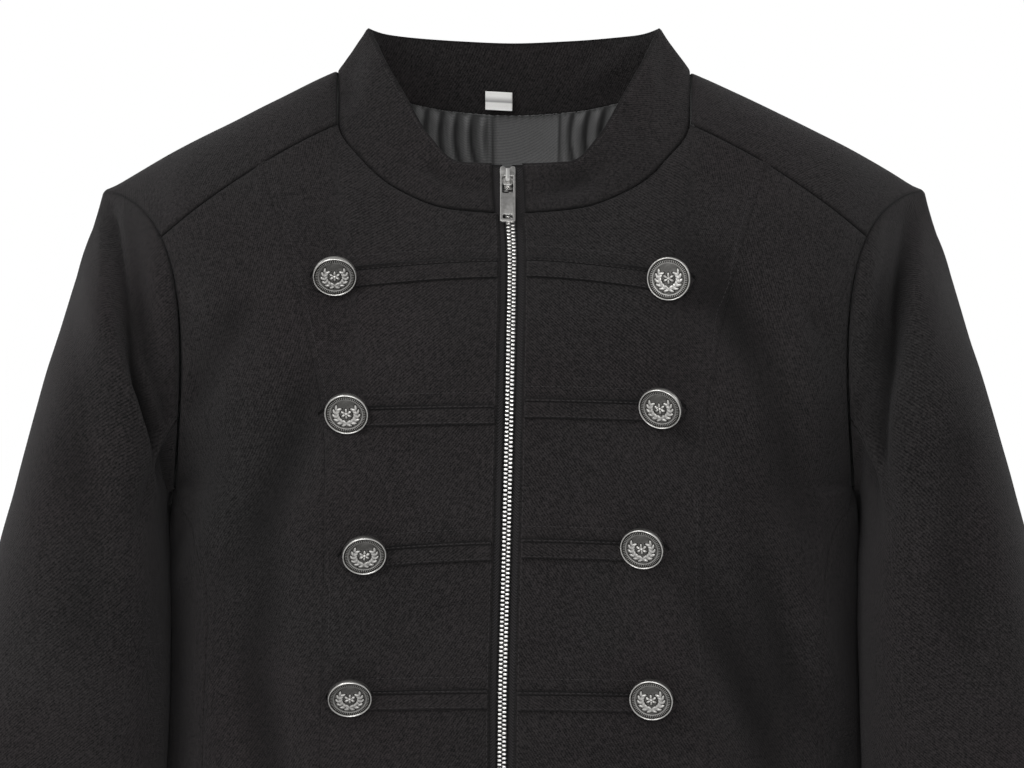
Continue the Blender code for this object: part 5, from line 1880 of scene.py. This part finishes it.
class JACKET_OT_collar(bpy.types.Operator):
    """Stand collar, its inner band, the neck lining and the blank label"""

    bl_idname = "jacket.collar"
    bl_label = "Collar and neck"

    def execute(self, context):
        lifts = spread(40 * MM, (True, True), 3.0 * MM)
        for name, from_zip, thick, lift, foot in (
            ("collar_outer", COLLAR_EDGE_FROM_ZIP, 1.8 * MM, 0.0, 0.0),
            ("collar_inner", INNER_COLLAR_EDGE, 1.1 * MM, INNER_COLLAR_LIFT, -0.08),
        ):
            points, normals = collar_patch(from_zip, foot + (1 - foot) * lifts)
            patch = Patch(points, normals)
            obj, area = shell(
                f"{name}_cloth", [patch], [material("charcoal_twill")], thick,
                self.collar_move, lift=lift, sink=0.7 * MM,
            )
            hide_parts(name)
            cloth_piece(obj, patch.sizes(), area)
        self.lining()
        self.label()
        return {"FINISHED"}

    @staticmethod
    def collar_move(points, normals, distance):
        folds = fold_field(points, normals, COLLAR_FRONT_FOLDS, COLLAR_BACK_FOLDS)
        return folds + ripple(points, 30 * MM, 0.35 * MM)

    @staticmethod
    def lining():
        rows = row_shares(lambda h: body_point(1, 180, h), LINING_FROM, 1.0)
        angles = row_shares(
            lambda a: body_point(1, 180 - a, 0.9), 0.0, SEAM_CORNER, (False, True), 1.6 * MM)
        half = np.concatenate((-angles[::-1], angles[1:]))
        sides = np.where(half < 0, -1, 1)
        angle, height = arrays(180 - np.abs(half)[None, :], rows[:, None])
        mirror = np.stack((sides, np.ones(len(half)), np.ones(len(half))), axis=-1)
        patch = Patch(body_point(1, angle, height) * mirror, body_normal(1, angle, height) * mirror)

        def bands(x, z):
            """How far beside the smooth middle, the winding folds there, and the two seams."""
            aside = np.abs(x - 7.4) - 19.7
            winding = x * 0.66 + 2.1 * np.sin((z + 40) * 0.085)
            wave = 0.8 * np.sin(winding) + 0.35 * np.sin(2.1 * winding + z * 0.07)
            return smoothstep(aside / 7), wave, np.exp(-((aside / 1.1) ** 2))

        def gathers(points, normals, distance):
            x, z = points[:, 0] / MM, points[:, 2] / MM
            strength, wave, seam = bands(x, z)
            pucker = 0.35 * np.sin(x * 1.5) * np.exp(-distance / (4 * MM))
            by_seam = smoothstep(distance / (7 * MM))
            return -MM * (1.6 + by_seam * 1.7 * strength * (1.0 + wave) + 0.8 * seam + pucker)

        # Painted shade of the gathers: a little over all, more in the troughs of the winding folds, at
        # the two seams and in small pleats along the top edge
        places = patch.points.reshape(-1, 3) / MM
        strength, wave, seam = bands(places[:, 0], places[:, 2])
        top = np.exp(-((1 - np.broadcast_to(rows[:, None], angle.shape).ravel()) / 0.02))
        dark = 0.1 + strength * (0.42 - 0.5 * wave) + 0.75 * seam
        dark = np.maximum(dark, 0.8 * top * (1 + 0.4 * np.sin(places[:, 0] * 1.5)))
        obj, area = shell("neck_lining_satin", [patch], [material("dark_satin")], 0.5 * MM,
                          gathers, lift=LINING_LIFT, sink=0.2 * MM, shade=np.clip(dark, 0, 0.95))
        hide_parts("neck_lining")
        cloth_piece(obj, patch.sizes(), area)

    @staticmethod
    def label():
        """A small blank tag, folded along its lower edge and a little askew."""
        low, high = (np.array(c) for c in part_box("label"))
        across = np.linspace(low[0], high[0], 25)
        tall = high[2] - low[2]
        face = low[1] - 0.1 * MM
        down = np.linspace(0, 1, 17)
        front = [(high[2] - tall * t, face + MM * (0.25 - 0.75 * math.sin(math.pi * t) ** 2))
                 for t in down]
        turned = [(low[2] - 0.25 * MM, face + 0.1 * MM), (low[2], face + 0.55 * MM)]
        behind = [(high[2] - tall * t, face + 0.75 * MM) for t in down[:-1][::-1]]
        middle = (low[0] + high[0]) / 2
        points = np.array([
            [(x, y + 0.5 * MM * ((x - middle) / (8 * MM)) ** 2, z - 0.055 * (x - middle))
             for x in across] for z, y in front + turned + behind
        ])
        normals = unit(np.cross(np.gradient(points, axis=0), np.gradient(points, axis=1)))
        patch = Patch(points, normals)
        # Painted shade: the upper part, which leans back from the light, darkens down to a fold, and
        # the turned part and the back are a little dark
        lean = np.where(down < 0.62, 0.15 + 0.75 * smoothstep((down - 0.2) / 0.42), 0.0)
        dark = np.concatenate((lean, np.full(len(points) - len(down), 0.3)))
        obj, area = shell("label_tag", [patch], [material("label_cloth")], 0.12 * MM, sink=0.0,
                          seam_gap=0.0, shade=np.repeat(dark, len(across)))
        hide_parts("label")
        cloth_piece(obj, patch.sizes(), area)


class JACKET_OT_straps(bpy.types.Operator):
    """Eight narrow straps across the front"""

    bl_idname = "jacket.straps"
    bl_label = "Straps"

    def execute(self, context):
        tree = front_tree()
        for number, places in enumerate(ROWS, 1):
            for (side, word), place in zip(SIDES, places):
                patch, height, shade = strap_patch(tree, side, place)
                obj, area = shell(
                    f"strap_{word}_{number}_cloth", [patch], [material("charcoal_twill")],
                    STRAP_THICK, lambda p, n, d: height[:len(p)],
                    lift=STRAP_GAP + STRAP_THICK, sink=0.5 * MM, seam_gap=0.0, shade=shade,
                )
                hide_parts(f"strap_{word}_{number}")
                width, length = patch.sizes()
                cloth_piece(obj, (width, length), area)
        return {"FINISHED"}


class JACKET_OT_buttons(bpy.types.Operator):
    """Eight shank buttons with a rosette and wreath in relief"""

    bl_idname = "jacket.buttons"
    bl_label = "Buttons"

    def execute(self, context):
        points, faces, hollow = button_mesh()
        turned = []
        for radius, height in CAD_BUTTON:
            for k in range(CAD_BUTTON_SIDES):
                turn = math.tau * k / CAD_BUTTON_SIDES
                turned.append(MM * Vector((radius * math.cos(turn), radius * math.sin(turn), height)))
        for number, places in enumerate(ROWS, 1):
            for (side, word), place in zip(SIDES, places):
                rotation = button_turn(place)
                placed = np.array([rotation @ p for p in turned])
                low, high = (np.array(c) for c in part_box(f"button_{word}_{number}"))
                location = (low + high) / 2 - (placed.min(axis=0) + placed.max(axis=0)) / 2
                obj = add_object(f"button_{word}_{number}_metal", points, faces,
                                 [material("antique_silver")])
                obj.matrix_world = Matrix.Translation(location) @ rotation.to_4x4()
                set_attribute(obj, "hollow", "FLOAT", hollow)
                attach(obj, "jacket")
                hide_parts(f"button_{word}_{number}")
        return {"FINISHED"}


class JACKET_OT_zip(bpy.types.Operator):
    """Zip tapes, teeth, slider and pull tab"""

    bl_idname = "jacket.zip"
    bl_label = "Zip"

    def execute(self, context):
        self.tapes()
        self.teeth()
        self.slider()
        return {"FINISHED"}

    @staticmethod
    def tapes():
        for side, word in SIDES:
            low, high = body_heights(2.0, 1.0, (True, False))
            rows = np.concatenate((low, high[1:-1]))
            x = TAPE[0] + (TAPE[1] - TAPE[0]) * spread(TAPE[1] - TAPE[0], (False, False), 1.4 * MM)
            angle = np.stack([angle_by_zip(side, d, rows) for d in x], axis=1)
            height = np.broadcast_to(rows[:, None], angle.shape)
            points, normals = body_point(side, angle, height), body_normal(side, angle, height)
            lifts = np.linspace(0, 1, 11)
            columns = [collar_edge(side, d) for d in x]
            upper = np.stack([collar_point(side, True, a, b, lifts) for a, b in columns], axis=1)
            normal = unit(np.cross(upper[5, -1] - upper[5, 0], upper[-1, 2] - upper[0, 2]))
            normal = normal if normal[1] < 0 else -normal
            upper_normals = np.broadcast_to(normal, upper.shape)
            points = np.concatenate((points, upper))
            normals = unit(np.concatenate((normals, upper_normals)))
            patch = Patch(points, normals)
            obj, area = shell(f"zip_tape_{word}_cloth", [patch], [material("zip_tape")], 0.7 * MM,
                              lift=TAPE_LIFT, sink=0.15 * MM, seam_gap=0.0)
            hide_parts(f"zip_tape_{word}")
            cloth_piece(obj, patch.sizes(), area)

    @staticmethod
    def teeth():
        heights = np.concatenate((np.linspace(-0.996, 0, 160), np.linspace(0.01, 0.985, 60)))
        angle = angle_by_zip(-1, 0.0, heights)
        path = body_point(-1, angle, heights)
        low, high = collar_edge(-1, 0.0)
        lifts = np.linspace(0, SLIDER_MIDDLE - 0.21, 16)
        path = np.vstack((path, collar_point(-1, True, low, high, lifts)))
        normals = np.zeros_like(path)
        along = np.gradient(path, axis=0)
        normals[:, 1], normals[:, 2] = -along[:, 2], along[:, 1]
        normals = unit(normals)
        run = lengths(path)
        tooth, tooth_faces = tooth_mesh()
        pitch = 2.36 * MM
        points, faces, hollow = [], [], []
        count = int(run[-1] / pitch)
        for k in range(count):
            for side, shift in ((-1, 0.25), (1, 0.75)):
                at = (k + shift) * pitch
                place = np.array([np.interp(at, run, path[:, i]) for i in range(3)])
                out = unit(np.array([np.interp(at, run, normals[:, i]) for i in range(3)]))
                down = unit(np.array((0, -out[2], out[1])))
                across = np.array((side, 0, 0))
                base = len(points)
                depth = -(CHAIN_DEPTH[0] + CHAIN_DEPTH[1]) / 2
                for x, y, z in tooth:
                    points.append(place + across * x + down * y + out * (z + depth))
                    # Painted shade: darker towards the foot of each tooth, and a painted shadow of the
                    # pull tab over the last teeth
                    tab_shadow = 0.9 * float(smoothstep((at - run[-1] + 10 * MM) / (3 * MM)))
                    hollow.append(min(max(0.75 - z / (1.1 * MM), 0) + tab_shadow, 1))
                faces += [[base + v for v in (face if side > 0 else face[::-1])]
                          for face in tooth_faces]
        obj = add_object("zip_teeth_metal", points, faces, [material("bright_nickel")])
        set_attribute(obj, "hollow", "FLOAT", hollow)
        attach(obj, "jacket")
        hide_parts("zip_chain")

    @staticmethod
    def slider():
        origin, out, up = slider_frame()
        outline = softened(list(SLIDER_PLATE))
        body = plate([outline], -1.2, 0.0, 0.35)
        back = plate([outline], -5.8, -4.6, 0.3)
        core = plate([rounded(3.8, -5.0, 5.0, 1.2)], -5.0, -0.6, 0.2)
        low, high = HINGE_UP / MM - 4.2, HINGE_UP / MM + 4.2
        meshes = [body, back, core]
        arch = [(low, -0.4), (low, 2.2), (low + 1.0, 3.3), (high - 1.0, 3.3), (high, 2.2),
                (high, -0.4), (high - 1.0, -0.4), (high - 1.0, 1.9), (high - 1.5, 2.4),
                (low + 1.5, 2.4), (low + 1.0, 1.9), (low + 1.0, -0.4)]
        bridge = plate([arch], -1.2, 1.2, 0.25)
        # Stand the arch up: its own (x, out, up) becomes (out, x, up)
        bridge.transform(Matrix(((0, 1, 0, 0), (0, 0, 1, 0), (1, 0, 0, 0), (0, 0, 0, 1))))
        meshes.append(bridge)
        slider = joined("zip_slider_metal", meshes, slider_matrix(origin, out, up),
                        [material("bright_nickel")], "jacket", (0.0,))
        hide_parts("zip_slider")
        hinge = origin + out * HINGE_OUT + up * HINGE_UP
        outer = rounded(8.6, -30.85, 0.65, 1.1)
        opening = rounded(6.3, -12.15, -0.65, 0.9)
        slot = rounded(5.8, -28.85, -26.15, 0.7)
        tab = plate([outer, opening[::-1], slot[::-1]], -0.7, 0.7, 0.22)
        pull = joined("pull_tab_metal", [tab], slider_matrix(hinge, out, up, PULL_LEAN),
                      [material("bright_nickel")], "zip_pull", (0.7,))
        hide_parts("pull_tab")


class JACKET_OT_stitching(bpy.types.Operator):
    """Topstitching beside the seams, the zip, the straps and the collar's rim"""

    bl_idname = "jacket.stitching"
    bl_label = "Topstitching"

    def execute(self, context):
        settings = context.scene.jacket_finish
        lines = []
        heights = np.concatenate((np.linspace(-0.99, 0, 90), np.linspace(0.01, 0.97, 50)))
        for side, word in SIDES:
            front = tree_of(f"centre_front_{word}_cloth")
            angle = angle_by_zip(side, EDGE_FROM_ZIP + 1.9 * MM, heights)
            lines.append(laid_on(front, body_point(side, angle, heights)))
            seam = float(shoulder_seam(np.array([PRINCESS]))[0])
            upper = np.where(heights > 0, heights * seam, heights)
            lines.append(laid_on(front, body_point(side, PRINCESS - 1.1, upper)))
        stitch_mesh("topstitching_fronts", lines, settings)
        tree = front_tree()
        lines = []
        for number, places in enumerate(ROWS, 1):
            for (side, word), place in zip(SIDES, places):
                strap = tree_of(f"strap_{word}_{number}_cloth")
                route = strap_places(side, place)
                for across in (-0.76, 0.8):
                    line = []
                    for x, z, half, share in route:
                        if share > 0.97:
                            break
                        hit = strap.ray_cast(Vector((x, -1, z + half * across)), Vector((0, 1, 0)))
                        if hit[0] is not None:
                            line.append((np.array(hit[0]), np.array(hit[1])))
                    lines.append(line)
                above = [r for r in route if r[3] < 1.02]
                zs = np.array([[z + half + 6.5 * MM, z + half + 7.5 * MM] for _, z, half, _ in above])
                points, normals = laid_rows(tree, [r[0] for r in above], zs)
                lines.append(list(zip(points[:, 0], normals[:, 0])))
        stitch_mesh("topstitching_straps", lines, settings)
        collar = tree_of("collar_outer_cloth")
        points, _ = collar_patch(COLLAR_EDGE_FROM_ZIP, np.array((0.0, 0.93, 1.0)))
        stitch_mesh("topstitching_collar", [laid_on(collar, points[1])], settings)
        back = tree_of("back_cloth")
        lines = []
        for side, _ in SIDES:
            angles = np.linspace(SEAM_CORNER + 0.6, ARMHOLE_FRONT - 2, 50)
            seam = shoulder_seam(angles)
            lines.append(laid_on(back, body_point(side, angles, seam + (1 - seam) * 0.2)))
        stitch_mesh("topstitching_shoulders", lines, settings)
        lines = []
        for side, word in SIDES:
            for kind, first, last in (
                ("centre_front", angle_by_zip(side, 9 * MM, np.array([HEM_UP]))[0], PRINCESS),
                ("side_front", PRINCESS, float(side_seam(HEM_UP))),
                ("side_panel", float(side_seam(HEM_UP)), 180 - float(side_seam(HEM_UP))),
                ("back", 180 - float(side_seam(HEM_UP)), 180.0),
            ):
                cloth = tree_of("back_cloth" if kind == "back" else f"{kind}_{word}_cloth")
                angles = np.linspace(first, last, 60)
                lines.append(laid_on(cloth, body_point(side, angles, np.full(60, HEM_UP))))
            cuff = tree_of(f"upper_sleeve_{word}_cloth", f"under_sleeve_{word}_cloth")
            lines.append(laid_on(cuff, sleeve_ring(side, CUFF_DOWN, np.linspace(0, 1, 120))))
        stitch_mesh("topstitching_hems", lines, settings)
        return {"FINISHED"}


class JACKET_PT_panel(bpy.types.Panel):
    """Lists the pieces"""

    bl_idname = "JACKET_PT_panel"
    bl_label = "Military Style Jacket"
    bl_space_type = "VIEW_3D"
    bl_region_type = "UI"
    bl_category = "Jacket"

    def draw(self, context):
        for operator in OPERATORS:
            self.layout.operator(operator.bl_idname)
        for settings in (context.scene.jacket_finish, context.scene.jacket_stage):
            for name in settings.__annotations__:
                self.layout.prop(settings, name)


OPERATORS = (
    JACKET_OT_stage, JACKET_OT_fronts, JACKET_OT_back, JACKET_OT_sleeves, JACKET_OT_collar,
    JACKET_OT_straps, JACKET_OT_buttons, JACKET_OT_zip, JACKET_OT_stitching,
)
CLASSES = (JacketFinish, JacketStage) + OPERATORS + (JACKET_PT_panel,)


def register():
    for each in CLASSES:
        bpy.utils.register_class(each)
    bpy.types.Scene.jacket_finish = PointerProperty(type=JacketFinish)
    bpy.types.Scene.jacket_stage = PointerProperty(type=JacketStage)


def unregister():
    del bpy.types.Scene.jacket_stage
    del bpy.types.Scene.jacket_finish
    for each in reversed(CLASSES):
        bpy.utils.unregister_class(each)


def main():
    register()
    bpy.ops.jacket.stage()
    bpy.ops.jacket.fronts()
    bpy.ops.jacket.back()
    bpy.ops.jacket.sleeves()
    bpy.ops.jacket.collar()
    bpy.ops.jacket.straps()
    bpy.ops.jacket.buttons()
    bpy.ops.jacket.zip()
    bpy.ops.jacket.stitching()


if __name__ == "__main__":
    main()
